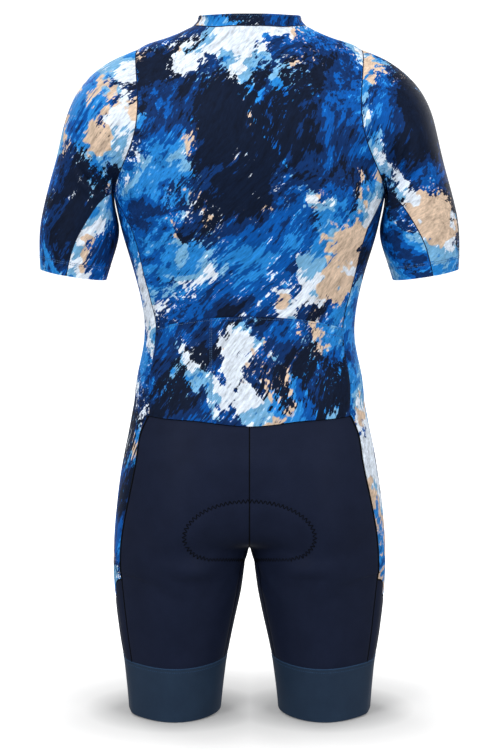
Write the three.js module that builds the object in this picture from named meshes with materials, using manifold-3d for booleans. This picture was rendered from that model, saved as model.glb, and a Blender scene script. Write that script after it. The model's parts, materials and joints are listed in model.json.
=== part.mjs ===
// A short-sleeved triathlon suit, filled out as if worn: a stretch-knit back with a pocket, two fronts with a
// zip, set-in sleeves with underarm panels, long side panels, padded shorts and wide leg bands.
// Millimetres. +Z is up, +X is the wearer's left and -Y is the front. The origin lies midway between the two
// shoulder seams' neck ends, where the wearer's shoulders carry the suit.
//
// The suit is one coarse net of rings. Every seam is an edge of the net, so that neighbours share it.
// Catmull-Clark subdivision, with the net corrected until its smooth surface passes through every ring,
// gives the cloth's outer face, and each panel is a thin wall under its own faces.
import * as THREE from "three";
import { mergeVertices } from "three/addons/utils/BufferGeometryUtils.js";
import Module from "manifold-3d";

const wasm = await Module();
wasm.setup();

const CLOTH = 1.2; // wall of the stretch knit
const SEAM_GAP = 0.34; // between the edges of two panels that are sewn together
const LAYER_GAP = 0.3; // between cloth that lies on cloth
const ZIP_HALF_GAP = 6; // from the centre front to the edge of each front
const FIT_ROUNDS = 14;

const named = (columns) => (row) => Object.fromEntries(columns.map((name, i) => [name, row[i]]));

// Closed rings round the body from the armpit to the hip. z is the height at the side, the centre back and
// the centre front; back and front are depths from the widest points; hollow draws the centre back in, and
// frontHollow the centre front. The side panel's seams run at the half widths seamBack and seamFront.
const BODY_RINGS = [
  [-222, -215, -218, 187, 97, 117, 3, 0, 183.5, 181],
  [-280, -268, -275, 174, 91, 116, 5, 0, 158, 152],
  [-345, -325, -340, 155, 81, 111, 5, 0, 142, 132],
  [-414, -389, -408, 144.5, 74, 104, 4, 0, 127.5, 118],
  [-472, -460, -470, 154, 79, 101, 3, 0, 134.8, 128],
  [-508, -516, -518, 158.7, 88.5, 100.3, 2, 0, 136.2, 136],
  [-523, -530, -532, 161.1, 91.6, 100, 2, 0, 137.5, 138],
  [-548, -560, -553, 166.1, 101.5, 98.9, 3.5, 0, 148.8, 146.5],
  [-585, -592, -585, 173.5, 112, 97, 6, 0, 154.4, 150.5],
  [-640, -652, -645, 182.5, 120, 94, 20, 7, 166, 158],
  [-695, -696, -698, 188, 113, 92, 38, 38, 175.5, 164],
].map(
  named([
    "zSide",
    "zBack",
    "zFront",
    "halfWidth",
    "back",
    "front",
    "hollow",
    "frontHollow",
    "seamBack",
    "seamFront",
  ]),
);
const BODY_SQUARENESS = 2.45;
const WAIST_RING = 6; // where the jersey is sewn to the shorts, and the fronts meet below the zip
const WAIST_DIP = 5.5; // how far the waist seam comes to a point at the centre back
const POCKET_RING = 3; // the pocket's curved mouth

// Rows above the armpit, from the lowest: the centre back and centre front, then the row's outer end, which
// lies on the armhole up to the shoulder point and on the shoulder seam above it.
const YOKE_ROWS = [
  [97, -168, -114, -178, 159, 66, -160, 153, -64, -160],
  [90, -122, -106, -138, 149.5, 59, -96, 146, -53, -98],
  [77, -78, -94, -101, 152, -2, -31.5, 152, -2, -31.5],
  [62, -38, -80, -73, 115, -3, -17.5, 115, -3, -17.5],
  [47, -1, -66, -49, 79, -4, -2, 79, -4, -2],
].map(
  named([
    "backY",
    "backZ",
    "frontY",
    "frontZ",
    "endBackX",
    "endBackY",
    "endBackZ",
    "endFrontX",
    "endFrontY",
    "endFrontZ",
  ]),
);
const YOKE_FULLNESS = 2.7; // how square the shoulders' rows are between the centre and their ends

// The collar's top edge: height and depth at the centre back, the side and the centre front.
const COLLAR_TOP = { backY: 43, backZ: 15, sideX: 69.5, sideY: -5, sideZ: 11.5, frontY: -67, frontZ: -30 };

// Rings of the sleeve from the armhole to the hem: the outermost and innermost points, the depths behind and
// before them, and the angles from the outermost point at which the underarm panel's seams run.
const SLEEVE_RINGS = [
  [187, -47, 187, -234, 65, 60, 152, 152],
  [223, -75, 184.6, -246, 63, 60, 140, 142],
  [247.5, -117, 181.4, -259, 60, 59, 126, 130],
  [260.5, -166, 178.8, -275, 57, 57, 111, 117],
  [275, -219, 181, -295, 54, 55, 99, 105],
  [287, -273, 189, -320, 51, 53, 90, 96],
  [287.5, -330, 197, -345, 48, 51, 82, 88],
].map(named(["xOut", "zOut", "xIn", "zIn", "back", "front", "seamBack", "seamFront"]));
const SLEEVE_FORWARD = 4; // how far the hem hangs in front of the armhole

// Rings of the leg below the crotch: heights at the side and back, the innermost and outermost half widths,
// depths, the half width of the back side seam, and how far the seam across the side panel slants there.
const LEG_RINGS = [
  [-732, -727, 5, 190, 101, 85.5, 178, 0],
  [-760, -756, 9, 189.5, 95, 85.5, 178, 12],
  [-788, -783, 13.5, 187.5, 91, 84.5, 176.5, 30],
  [-828, -826, 22, 183.5, 86, 81.5, 169.5, 6],
  [-868, -873, 30.5, 177.5, 82, 78, 163, 0],
  [-906, -910, 36, 173, 80, 75, 158.7, 0],
  [-945, -948, 40, 170, 78, 73, 156, 0],
].map(named(["zSide", "zBack", "xIn", "xOut", "back", "front", "seamBack", "slant"]));
const LEG_SEAM_FRONT = 38; // degrees from the outermost point to the front side seam
const LEG_INSEAM = 20; // degrees from the innermost point to the inseam, and to the front fold
const LEG_BACK_NODE = 100; // degrees from the innermost point, on the back and on the front
const LEG_SEAT_NODE = 60;
const SLANT_RING = 2; // the printed side panel ends here
const BAND_RING = 4; // the leg band is sewn on here
const CROTCH = { z: -713, backY: 26, frontY: -14 };

// The net: nodes are shared by key, and faces carry the panel that they belong to.
const nodes = [];
const nodeOf = new Map();
const faces = [];

function node(key, x, y, z) {
  if (!nodeOf.has(key)) {
    nodeOf.set(key, nodes.length);
    nodes.push(new THREE.Vector3(x, y, z));
  }
  return nodeOf.get(key);
}

// Adds the quads of a net of rows and columns. Columns run from the back round the side to the front.
function addGrid(panel, side, rows) {
  for (let i = 0; i + 1 < rows.length; i++) {
    for (let j = 0; j + 1 < rows[i].length; j++) {
      const quad = [rows[i][j], rows[i + 1][j], rows[i + 1][j + 1], rows[i][j + 1]];
      const at = [
        [i, j],
        [i + 1, j],
        [i + 1, j + 1],
        [i, j + 1],
      ];
      if (side < 0) {
        quad.reverse();
        at.reverse();
      }
      faces.push({ panel, side, quad, at });
    }
  }
}

// A point of a squared oval ring at an angle from its centre line, with its height between the two given.
function ringPoint(angle, halfWidth, depth, zSide, zCentre) {
  const power = 2 / BODY_SQUARENESS;
  const c = Math.cos(angle);
  return [halfWidth * Math.sin(angle) ** power, depth * c ** power, zSide + (zCentre - zSide) * c * c];
}

const seamAngle = (x, halfWidth) => Math.asin((x / halfWidth) ** (BODY_SQUARENESS / 2));

// The eleven nodes of half a ring of the body, from the centre back to the centre front.
function bodyRow(ring, side, index) {
  const key = (column) => `body${index}_${column}_${column === 0 ? 0 : side}`;
  const back = seamAngle(ring.seamBack, ring.halfWidth);
  const front = seamAngle(ring.seamFront, ring.halfWidth);
  const quarter = Math.PI / 2;
  const stations = [
    [0, 1],
    [back / 3, 1],
    [(back * 2) / 3, 1],
    [back, 1],
    [(back + quarter) / 2, 1],
    [quarter, 1],
    [(front + quarter) / 2, -1],
    [front, -1],
    [(front * 2) / 3, -1],
    [front / 3, -1],
    [0, -1],
  ];
  const zipped = index < WAIST_RING;
  return stations.map(([angle, facing], column) => {
    const depth = facing > 0 ? ring.back : -ring.front;
    const zCentre = facing > 0 ? ring.zBack : ring.zFront;
    let [x, y, z] = ringPoint(angle, ring.halfWidth, depth, ring.zSide, zCentre);
    if (column === 0) y -= ring.hollow;
    if (column === 0 && index === WAIST_RING) z -= WAIST_DIP;
    if (column === 10) {
      y += ring.frontHollow;
      x = zipped ? ZIP_HALF_GAP : 0;
      if (!zipped) return node(`body${index}_10_0`, x, y, z);
    }
    return node(key(column), side * x, y, z);
  });
}

// Half a row of the yoke, from the centre to the armhole or the shoulder seam.
function yokeRow(row, side, index, facing) {
  const start = facing > 0 ? [0, row.backY, row.backZ] : [ZIP_HALF_GAP, row.frontY, row.frontZ];
  const end =
    facing > 0 ? [row.endBackX, row.endBackY, row.endBackZ] : [row.endFrontX, row.endFrontY, row.endFrontZ];
  const sewn = index >= 2;
  return [0, 1, 2, 3].map((k) => {
    const s = k / 3;
    const x = start[0] + (end[0] - start[0]) * s;
    const y = end[1] + (start[1] - end[1]) * (1 - s ** YOKE_FULLNESS);
    const z = start[2] + (end[2] - start[2]) * s * s;
    if (k === 3 && sewn) return node(`shoulder${index}_${side}`, side * x, y, z);
    const face = facing > 0 ? "back" : "front";
    return node(`yoke${index}_${face}${k}_${k === 0 && facing > 0 ? 0 : side}`, side * x, y, z);
  });
}

function collarRow(side, neckBack, neckFront) {
  const top = COLLAR_TOP;
  const back = [0, 1, 2].map((k) => {
    const a = (k / 3) * (Math.PI / 2);
    const z = top.sideZ + (top.backZ - top.sideZ) * Math.cos(a);
    const y = top.sideY + (top.backY - top.sideY) * Math.cos(a) ** 0.9;
    return node(`collar${k}_${k === 0 ? 0 : side}`, side * top.sideX * Math.sin(a) ** 0.95, y, z);
  });
  const shoulder = node(`collar3_${side}`, side * top.sideX, top.sideY, top.sideZ);
  const front = [2, 1, 0].map((k) => {
    const a = (k / 3) * (Math.PI / 2);
    const x = ZIP_HALF_GAP + (top.sideX - ZIP_HALF_GAP) * Math.sin(a);
    const y = top.sideY + (top.frontY - top.sideY) * Math.cos(a) ** 0.9;
    const z = top.sideZ + (top.frontZ - top.sideZ) * Math.cos(a) ** 1.3;
    return node(`collar${6 - k}_${side}`, side * x, y, z);
  });
  addGrid("collar", side, [
    [...neckBack, ...[...neckFront].reverse().slice(1)],
    [...back, shoulder, ...front],
  ]);
}

// A sleeve ring's ten nodes, from the outermost point down the back to the inner side and up the front.
function sleeveRow(ring, side, index, forward) {
  const middle = [(ring.xOut + ring.xIn) / 2, (ring.zOut + ring.zIn) / 2];
  const arm = [(ring.xOut - ring.xIn) / 2, (ring.zOut - ring.zIn) / 2];
  const t = index / (SLEEVE_RINGS.length - 1);
  const upper = 0.42 - 0.08 * t; // shares of the way to the seam at which the two nodes above it lie
  const lower = 0.7 - 0.03 * t;
  const half = (seam, sign) => [
    [seam * upper, sign],
    [seam * lower, sign],
    [seam, sign],
    [(seam + 180) / 2, sign],
  ];
  const stations = [
    [0, 1],
    ...half(ring.seamBack, 1),
    [180, 1],
    ...half(ring.seamFront, -1).reverse(),
  ];
  return stations.map(([degrees, sign], k) => {
    const a = THREE.MathUtils.degToRad(degrees);
    const depth = sign > 0 ? ring.back : -ring.front;
    return node(
      `sleeve${index}_${k}_${side}`,
      side * (middle[0] + arm[0] * Math.cos(a)),
      depth * Math.sin(a) - forward,
      middle[1] + arm[1] * Math.cos(a),
    );
  });
}

// A leg ring's nodes, from the inseam round the back and the outer side to the fold at the inner front.
function legRow(ring, side, index) {
  const middle = (ring.xIn + ring.xOut) / 2;
  const halfWidth = (ring.xOut - ring.xIn) / 2;
  const seam = THREE.MathUtils.radToDeg(Math.acos((ring.seamBack - middle) / halfWidth));
  const stations = [
    [LEG_INSEAM, 1, 0],
    [LEG_SEAT_NODE, 1, 0],
    [LEG_BACK_NODE, 1, 0.35],
    [180 - seam, 1, 1],
    [180 - seam / 2, 1, 0.32],
    [180, 1, 0],
    [180 - LEG_SEAM_FRONT / 2, -1, -0.5],
    [180 - LEG_SEAM_FRONT, -1, -1],
    [LEG_BACK_NODE, -1, -0.35],
    [LEG_SEAT_NODE, -1, 0],
    [LEG_INSEAM, -1, 0],
  ];
  return stations.map(([degrees, facing, slanted], k) => {
    const a = THREE.MathUtils.degToRad(degrees);
    const depth = facing > 0 ? ring.back : -ring.front;
    const drop = facing > 0 ? (ring.zBack - ring.zSide) * Math.sin(a) : 0;
    const x = middle - halfWidth * Math.cos(a);
    return node(
      `leg${index}_${k}_${side}`,
      side * x,
      depth * Math.sin(a),
      ring.zSide + drop + ring.slant * slanted,
    );
  });
}

for (const side of [1, -1]) {
  const hand = side > 0 ? "left" : "right";
  const body = BODY_RINGS.map((ring, i) => bodyRow(ring, side, i));
  const yokeBack = YOKE_ROWS.map((row, i) => yokeRow(row, side, i, 1));
  const yokeFront = YOKE_ROWS.map((row, i) => yokeRow(row, side, i, -1));
  const jersey = body.slice(0, WAIST_RING + 1).reverse();
  const cut = (rows, from, to) => rows.map((row) => row.slice(from, to + 1));

  addGrid("back_panel", side, [...cut(jersey, 0, 3), ...yokeBack]);
  addGrid(`front_${hand}`, side, [...cut(jersey, 7, 10), ...yokeFront.map((row) => [...row].reverse())]);
  collarRow(side, yokeBack.at(-1), yokeFront.at(-1));

  const armpit = body[0];
  const armhole = [
    yokeBack[2][3],
    yokeBack[1][3],
    yokeBack[0][3],
    ...armpit.slice(3, 8),
    yokeFront[0][3],
    yokeFront[1][3],
  ];
  const last = SLEEVE_RINGS.length - 1;
  const sleeve = [
    armhole,
    ...SLEEVE_RINGS.map((ring, i) => sleeveRow(ring, side, i, (SLEEVE_FORWARD * i) / last)),
  ];
  // The outer piece wraps over the top, from one underarm seam to the other.
  const over = (row) => [...row.slice(7), ...row.slice(0, 4)];
  addGrid(`sleeve_${hand}`, side, sleeve.map(over));
  addGrid(`underarm_${hand}`, side, cut(sleeve, 3, 7));

  const crotchBack = node("crotch_back", 0, CROTCH.backY, CROTCH.z);
  const crotchFront = node("crotch_front", 0, CROTCH.frontY, CROTCH.z);
  const legs = LEG_RINGS.map((ring, i) => legRow(ring, side, i));
  legs[0][0] = crotchBack;
  legs[0][10] = crotchFront;
  const upper = body.slice(WAIST_RING);
  const thigh = legs.slice(0, BAND_RING + 1);
  addGrid(`seat_${hand}`, side, [...cut([...upper, ...thigh], 0, 3)].reverse());
  addGrid(`thigh_front_${hand}`, side, cut([...upper, ...thigh], 7, 10).reverse());
  addGrid(`thigh_front_${hand}`, side, thigh.map((row) => [row[10], row[0]]).reverse());
  const printed = [...body, ...legs.slice(0, SLANT_RING + 1)];
  addGrid(`side_panel_${hand}`, side, cut(printed, 3, 7).reverse());
  addGrid(`leg_side_${hand}`, side, cut(legs.slice(SLANT_RING, BAND_RING + 1), 3, 7).reverse());
  addGrid(`leg_band_${hand}`, side, legs.slice(BAND_RING).map((row) => [...row, row[0]]).reverse());
}

// The neighbours that subdivision needs: for each vertex its edges and faces, and for each edge its faces.
function neighbours(quads, count) {
  const edges = new Map();
  const around = Array.from({ length: count }, () => ({ faces: [], edges: [] }));
  quads.forEach((quad, f) => {
    quad.forEach((a, k) => {
      const b = quad[(k + 1) % 4];
      const key = a < b ? `${a}_${b}` : `${b}_${a}`;
      if (!edges.has(key)) {
        edges.set(key, { ends: [a, b], faces: [] });
        around[a].edges.push(edges.get(key));
        around[b].edges.push(edges.get(key));
      }
      edges.get(key).faces.push(f);
      around[a].faces.push(f);
    });
  });
  return { edges, around };
}

const otherEnd = (edge, v) => (edge.ends[0] === v ? edge.ends[1] : edge.ends[0]);

// Where each vertex of a net lies on its Catmull-Clark limit surface.
function limitPoints(points, quads, net) {
  return points.map((p, v) => {
    const { faces: own, edges } = net.around[v];
    const rim = edges.filter((edge) => edge.faces.length === 1);
    if (own.length === 1) return p.clone();
    if (rim.length) {
      const sum = p.clone().multiplyScalar(4);
      rim.forEach((edge) => sum.add(points[otherEnd(edge, v)]));
      return sum.divideScalar(6);
    }
    const n = own.length;
    const sum = p.clone().multiplyScalar(n * n);
    edges.forEach((edge) => sum.addScaledVector(points[otherEnd(edge, v)], 4));
    own.forEach((f) => sum.add(points[quads[f][(quads[f].indexOf(v) + 2) % 4]]));
    return sum.divideScalar(n * (n + 5));
  });
}

// One round of Catmull-Clark subdivision. Faces keep their panel and their place in its rows and columns.
function subdivide(points, list) {
  const quads = list.map((face) => face.quad);
  const net = neighbours(quads, points.length);
  const made = [];
  const add = (p) => made.push(p) - 1;
  const mean = (vertices) =>
    vertices.reduce((sum, v) => sum.add(points[v]), new THREE.Vector3()).divideScalar(vertices.length);
  const centres = quads.map(mean);

  points.forEach((p, v) => {
    const { faces: own, edges } = net.around[v];
    const rim = edges.filter((edge) => edge.faces.length === 1);
    if (own.length === 1) return add(p.clone());
    if (rim.length) {
      const sum = p.clone().multiplyScalar(6);
      rim.forEach((edge) => sum.add(points[otherEnd(edge, v)]));
      return add(sum.divideScalar(8));
    }
    const n = own.length;
    const sum = p.clone().multiplyScalar(n - 3);
    own.forEach((f) => sum.addScaledVector(centres[f], 1 / n));
    edges.forEach((edge) => sum.addScaledVector(mean(edge.ends), 2 / n));
    return add(sum.divideScalar(n));
  });
  for (const edge of net.edges.values()) {
    const middle = mean(edge.ends);
    if (edge.faces.length === 2)
      middle.add(centres[edge.faces[0]].clone().add(centres[edge.faces[1]]).divideScalar(2)).divideScalar(2);
    edge.vertex = add(middle);
  }
  const centreVertex = centres.map(add);

  const split = list.flatMap((face, f) =>
    face.quad.map((v, k) => {
      const edgeAt = (i) => {
        const [a, b] = [face.quad[i % 4], face.quad[(i + 1) % 4]];
        return net.edges.get(a < b ? `${a}_${b}` : `${b}_${a}`).vertex;
      };
      const middle = (i, j) => face.at[i % 4].map((c, axis) => (c + face.at[j % 4][axis]) / 2);
      const centre = [0, 1].map((axis) => face.at.reduce((sum, c) => sum + c[axis], 0) / 4);
      return {
        panel: face.panel,
        side: face.side,
        quad: [v, edgeAt(k), centreVertex[f], edgeAt(k + 3)],
        at: [face.at[k], middle(k, k + 1), centre, middle(k, k + 3)],
      };
    }),
  );
  return { points: made, faces: split };
}

// Corrects the net until its limit surface passes through the ring points.
function fitNet(targets, quads) {
  const net = neighbours(quads, targets.length);
  const points = targets.map((p) => p.clone());
  for (let round = 0; round < FIT_ROUNDS; round++) {
    const limit = limitPoints(points, quads, net);
    points.forEach((p, v) => p.add(targets[v]).sub(limit[v]));
  }
  return points;
}

function vertexNormals(points, quads) {
  const normals = points.map(() => new THREE.Vector3());
  for (const quad of quads) {
    const [a, b, c, d] = quad.map((v) => points[v]);
    const facing = c.clone().sub(a).cross(d.clone().sub(b));
    quad.forEach((v) => normals[v].add(facing));
  }
  return normals.map((n) => n.normalize());
}

const fitted = fitNet(nodes, faces.map((face) => face.quad));
const fine = subdivide(fitted, faces);
const fineQuads = fine.faces.map((face) => face.quad);
const surface = limitPoints(fine.points, fineQuads, neighbours(fineQuads, fine.points.length));
const normals = vertexNormals(surface, fineQuads);

const skin = { points: surface, normals };
const distance = (p, q) => p.distanceToSquared(q);

// A polygon's vertices, turned so that it splits along its shorter diagonal.
function turned(quad, points) {
  const [a, b, c, d] = quad.map((v) => points[v]);
  return quad.length === 3 || distance(a, c) <= distance(b, d) ? quad : [...quad.slice(1), quad[0]];
}

// Polygons of a skin as a closed wall between two heights over it, with its edges drawn in by the inset.
function wall({ points, normals: facing }, polygons, from, to, inset = SEAM_GAP / 2) {
  const edges = new Set();
  const used = new Map();
  for (const polygon of polygons) {
    polygon.forEach((a, k) => {
      edges.add(`${a}_${polygon[(k + 1) % polygon.length]}`);
      if (!used.has(a)) used.set(a, { index: used.size, pull: new THREE.Vector3() });
    });
  }
  const rim = [...edges].map((key) => key.split("_").map(Number)).filter(([a, b]) => !edges.has(`${b}_${a}`));
  // An edge is drawn in square to itself, along the surface.
  for (const [a, b] of rim) {
    const along = points[b].clone().sub(points[a]).normalize();
    for (const v of [a, b]) used.get(v).pull.add(facing[v].clone().cross(along).normalize());
  }
  const count = used.size;
  const positions = new Float32Array(count * 6);
  for (const [v, { index, pull }] of used) {
    const p = points[v].clone().addScaledVector(pull.normalize(), inset);
    p.clone().addScaledVector(facing[v], to).toArray(positions, index * 3);
    p.clone().addScaledVector(facing[v], from).toArray(positions, (count + index) * 3);
  }
  const triangles = [];
  const at = (v) => used.get(v).index;
  for (const polygon of polygons) {
    const [i, j, k, l] = turned(polygon, points).map(at);
    triangles.push(i, j, k, count + i, count + k, count + j);
    if (l !== undefined) triangles.push(i, k, l, count + i, count + l, count + k);
  }
  // Both panels at a seam split its wall along the same diagonal, so that a twisted one leaves its gap.
  for (const [a, b] of rim) {
    const [i, j] = [at(a), at(b)];
    if (a < b) triangles.push(i, count + j, j, i, count + i, count + j);
    else triangles.push(i, count + i, j, j, count + i, count + j);
  }
  return geometryOf(positions, triangles);
}

// The part of a skin's polygons where a field of the point is negative, cut along the field's zero line.
function cutOut({ points, normals: facing }, polygons, field) {
  const made = { points: [], normals: [] };
  const index = new Map();
  const values = new Map();
  const value = (v) => {
    if (!values.has(v)) {
      const d = field(points[v]);
      values.set(v, Math.abs(d) < 2 ? 0 : d);
    }
    return values.get(v);
  };
  const vertex = (a, b, t) => {
    const key = t === 0 ? `${a}` : `${Math.min(a, b)}_${Math.max(a, b)}`;
    if (!index.has(key)) {
      index.set(key, made.points.length);
      made.points.push(points[a].clone().lerp(points[b], t));
      made.normals.push(facing[a].clone().lerp(facing[b], t));
    }
    return index.get(key);
  };
  const kept = [];
  for (const polygon of polygons) {
    const [a, b, c, d] = turned(polygon, points);
    for (const triangle of [[a, b, c], [a, c, d]]) {
      const cut = [];
      triangle.forEach((v, k) => {
        const next = triangle[(k + 1) % 3];
        const [here, there] = [value(v), value(next)];
        if (here <= 0) cut.push(vertex(v, v, 0));
        if (here * there < 0) {
          const [low, high] = v < next ? [v, next] : [next, v];
          cut.push(vertex(low, high, value(low) / (value(low) - value(high))));
        }
      });
      if (cut.length > 2 && triangle.some((v) => value(v) < 0)) kept.push(cut);
    }
  }
  return [made, kept];
}

function geometryOf(positions, triangles) {
  const geometry = new THREE.BufferGeometry();
  geometry.setAttribute("position", new THREE.BufferAttribute(new Float32Array(positions), 3));
  geometry.setIndex(triangles);
  geometry.computeVertexNormals();
  return geometry;
}

const panelFaces = (panel) => fine.faces.filter((face) => face.panel === panel);
const quadsOf = (list) => list.map((face) => face.quad);

// Finishes, as the cloth's colour and how dull it is.
const finish = (color, roughness, metalness = 0) =>
  new THREE.MeshStandardMaterial({ color, roughness, metalness });
const printedKnit = finish(0x1d5fae, 0.62);
const navyKnit = finish(0x1a2136, 0.55);
const bandKnit = finish(0x24405c, 0.6);
const foam = finish(0x20242c, 0.9);
const zipTape = finish(0x10141d, 0.8);
const zipPlastic = finish(0x0d0f14, 0.45);
const zipMetal = finish(0x2a2d33, 0.35, 0.9);

const suit = new THREE.Group();

function addPiece(name, geometry, material, parent = suit) {
  const mesh = new THREE.Mesh(geometry, material);
  mesh.name = name;
  parent.add(mesh);
  return mesh;
}

const CLOTH_PANELS = [
  ["back_panel", printedKnit],
  ["collar", printedKnit],
  ...["left", "right"].flatMap((hand) => [
    [`front_${hand}`, printedKnit],
    [`side_panel_${hand}`, printedKnit],
    [`sleeve_${hand}`, printedKnit],
    [`underarm_${hand}`, printedKnit],
    [`seat_${hand}`, navyKnit],
    [`thigh_front_${hand}`, navyKnit],
    [`leg_side_${hand}`, navyKnit],
    [`leg_band_${hand}`, bandKnit],
  ]),
];
for (const [name, material] of CLOTH_PANELS)
  addPiece(name, wall(skin, quadsOf(panelFaces(name)), -CLOTH, 0), material);

// The back pocket lies on the lower back, from the waist seam to its curved mouth.
const POCKET_ROWS = WAIST_RING - POCKET_RING;
const pocket = panelFaces("back_panel").filter((face) => face.at.every(([row]) => row <= POCKET_ROWS));
addPiece("back_pocket", wall(skin, quadsOf(pocket), LAYER_GAP, LAYER_GAP + CLOTH), printedKnit);

// The seat pad lines the crotch: a wide lobe under the seat with a straight lower edge, a narrow bridge and
// a smaller lobe in front.
// Turns are measured round PAD_CENTRE from straight back, downwards and to the front.
const PAD_CENTRE = { y: 10, z: -640 };
const PAD_THICKNESS = 5;
const PAD_GAP = 0.65;
const PAD_LOBES = [
  [24, 27, 88],
  [164, 26, 48],
].map(named(["turn", "halfTurn", "halfWidth"]));
const PAD_BRIDGE = { turn: 100, halfTurn: 62, halfWidth: 30 };
const PAD_FOOT = { turn: 62, halfTurn: 28, halfWidth: 60, z: -737, tilt: 0.21 }; // the lower edge at the back
const PAD_REACH = 1.7; // millimetres along the pad for each degree of turn

function padField(p) {
  const turn = THREE.MathUtils.radToDeg(Math.atan2(PAD_CENTRE.z - p.z, p.y - PAD_CENTRE.y));
  const wrapped = turn < -90 ? turn + 360 : turn;
  const across = Math.abs(p.x) + Math.max(0, CROTCH.z - p.z);
  const lobes = PAD_LOBES.map(
    ({ turn: t, halfTurn, halfWidth }) =>
      (Math.hypot(across / halfWidth, (wrapped - t) / halfTurn) - 1) * halfTurn * PAD_REACH,
  );
  const bridge = Math.max(
    across - PAD_BRIDGE.halfWidth,
    (Math.abs(wrapped - PAD_BRIDGE.turn) - PAD_BRIDGE.halfTurn) * PAD_REACH,
  );
  const foot = Math.max(
    Math.abs(p.x) - PAD_FOOT.halfWidth,
    PAD_FOOT.z + PAD_FOOT.tilt * p.y - p.z,
    (Math.abs(wrapped - PAD_FOOT.turn) - PAD_FOOT.halfTurn) * PAD_REACH,
  );
  return Math.min(...lobes, bridge, foot);
}

const shortsFaces = ["seat_left", "seat_right", "thigh_front_left", "thigh_front_right"].flatMap(panelFaces);
const padTop = -CLOTH - PAD_GAP;
const padPatch = cutOut(skin, quadsOf(shortsFaces), padField);
addPiece("seat_pad", wall(...padPatch, padTop - PAD_THICKNESS, padTop, 0), foam);

// The zip. Its tapes lie under the edges of the fronts and the collar, and its chain lies between them.
const TAPE = { inner: 2.6, outer: 14, thickness: 0.8 };
const CHAIN = { halfWidth: 2.3, top: -0.4, bottom: -2.6 };

// The edge of one side's front and collar from the waist up: pairs of a point on the edge and its neighbour.
function zipEdge(side) {
  const hand = side > 0 ? "left" : "right";
  const find = (panel, row, column) => {
    for (const face of panelFaces(panel)) {
      const k = face.side === side ? face.at.findIndex(([r, c]) => r === row && c === column) : -1;
      if (k >= 0) return face.quad[k];
    }
    return undefined;
  };
  const rows = (panel, column, from) => {
    const found = [];
    for (let row = from; find(panel, row, column) !== undefined; row += 0.5)
      found.push([find(panel, row, column), find(panel, row, column - 0.5)]);
    return found;
  };
  return [...rows(`front_${hand}`, 3, 0), ...rows("collar", 6, 0.5)];
}

const zipEdges = { 1: zipEdge(1), [-1]: zipEdge(-1) };

// A point of the skin at a distance from the centre front, on a row of the zip's edge.
function acrossZip([edge, neighbour], x) {
  const [p, q] = [surface[edge], surface[neighbour]];
  const t = (x - Math.abs(p.x)) / Math.abs(q.x - p.x);
  const normal = normals[edge].clone().lerp(normals[neighbour], t).normalize();
  return { point: p.clone().lerp(q, t), normal };
}

// A strip of a skin whose rows each hold the same number of points, turned to face outwards.
function strip(rows, flip) {
  const width = rows[0].length;
  const flat = rows.flat();
  const quads = [];
  for (let i = 0; i + 1 < rows.length; i++)
    for (let j = 0; j + 1 < width; j++) {
      const quad = [i * width + j, (i + 1) * width + j, (i + 1) * width + j + 1, i * width + j + 1];
      quads.push(flip ? quad.reverse() : quad);
    }
  return [{ points: flat.map((at) => at.point), normals: flat.map((at) => at.normal) }, quads];
}

for (const side of [1, -1]) {
  const rows = zipEdges[side].map((pair) => [TAPE.outer, 8, TAPE.inner].map((x) => acrossZip(pair, x)));
  const top = -CLOTH - LAYER_GAP;
  const tape = wall(...strip(rows, side < 0), top - TAPE.thickness, top, 0.5);
  addPiece(side > 0 ? "zip_tape_left" : "zip_tape_right", tape, zipTape);
}

// The zip's centre line, and a place on it at a height: a point, the way out of the cloth and the way down.
const zipLine = zipEdges[1].map((pair) => acrossZip(pair, 0));

function onZip(z) {
  const i = Math.max(1, zipLine.findIndex(({ point }) => point.z > z));
  const [below, above] = [zipLine[i - 1], zipLine[i]];
  const t = (z - below.point.z) / (above.point.z - below.point.z);
  const out = below.normal.clone().lerp(above.normal, t).setX(0).normalize();
  return {
    point: below.point.clone().lerp(above.point, t).setX(0),
    out,
    down: new THREE.Vector3(1, 0, 0).cross(out),
  };
}

const SLIDER_Z = -36.2;
const CHAIN_ENDS = [-522, SLIDER_Z + 1.2];
const chainHeights = [
  CHAIN_ENDS[0],
  ...zipLine.map(({ point }) => point.z).filter((z) => z > CHAIN_ENDS[0] + 4 && z < CHAIN_ENDS[1] - 4),
  CHAIN_ENDS[1],
];
const chainRows = chainHeights.map((z) => {
  const { point, out } = onZip(z);
  return [1, -1].map((side) => ({ point: point.clone().setX(side * CHAIN.halfWidth), normal: out }));
});
addPiece("zip_chain", wall(...strip(chainRows, false), CHAIN.bottom, CHAIN.top, 0), zipPlastic);

// Small hard pieces are built lying flat, with x across the zip, y down it and z out of the cloth.
function solidOf(geometry) {
  geometry.deleteAttribute("normal");
  geometry.deleteAttribute("uv");
  const merged = mergeVertices(geometry);
  const vertProperties = merged.attributes.position.array;
  return new wasm.Manifold(new wasm.Mesh({ numProp: 3, vertProperties, triVerts: merged.index.array }));
}

// A block between two corners.
function block(x0, x1, y0, y1, z0, z1) {
  const box = new THREE.BoxGeometry(x1 - x0, y1 - y0, z1 - z0);
  return solidOf(box.translate((x0 + x1) / 2, (y0 + y1) / 2, (z0 + z1) / 2));
}

// A rod along x between two ends, and a disc that lies flat in the middle of its thickness.
function rod(x0, x1, y, z, radius, sides) {
  const upright = new THREE.CylinderGeometry(radius, radius, x1 - x0, sides);
  return solidOf(upright.rotateZ(Math.PI / 2).translate((x0 + x1) / 2, y, z));
}

function disc(y, radius, thickness, sides) {
  const upright = new THREE.CylinderGeometry(radius, radius, thickness, sides);
  return solidOf(upright.rotateX(Math.PI / 2).translate(0, y, 0));
}

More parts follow.
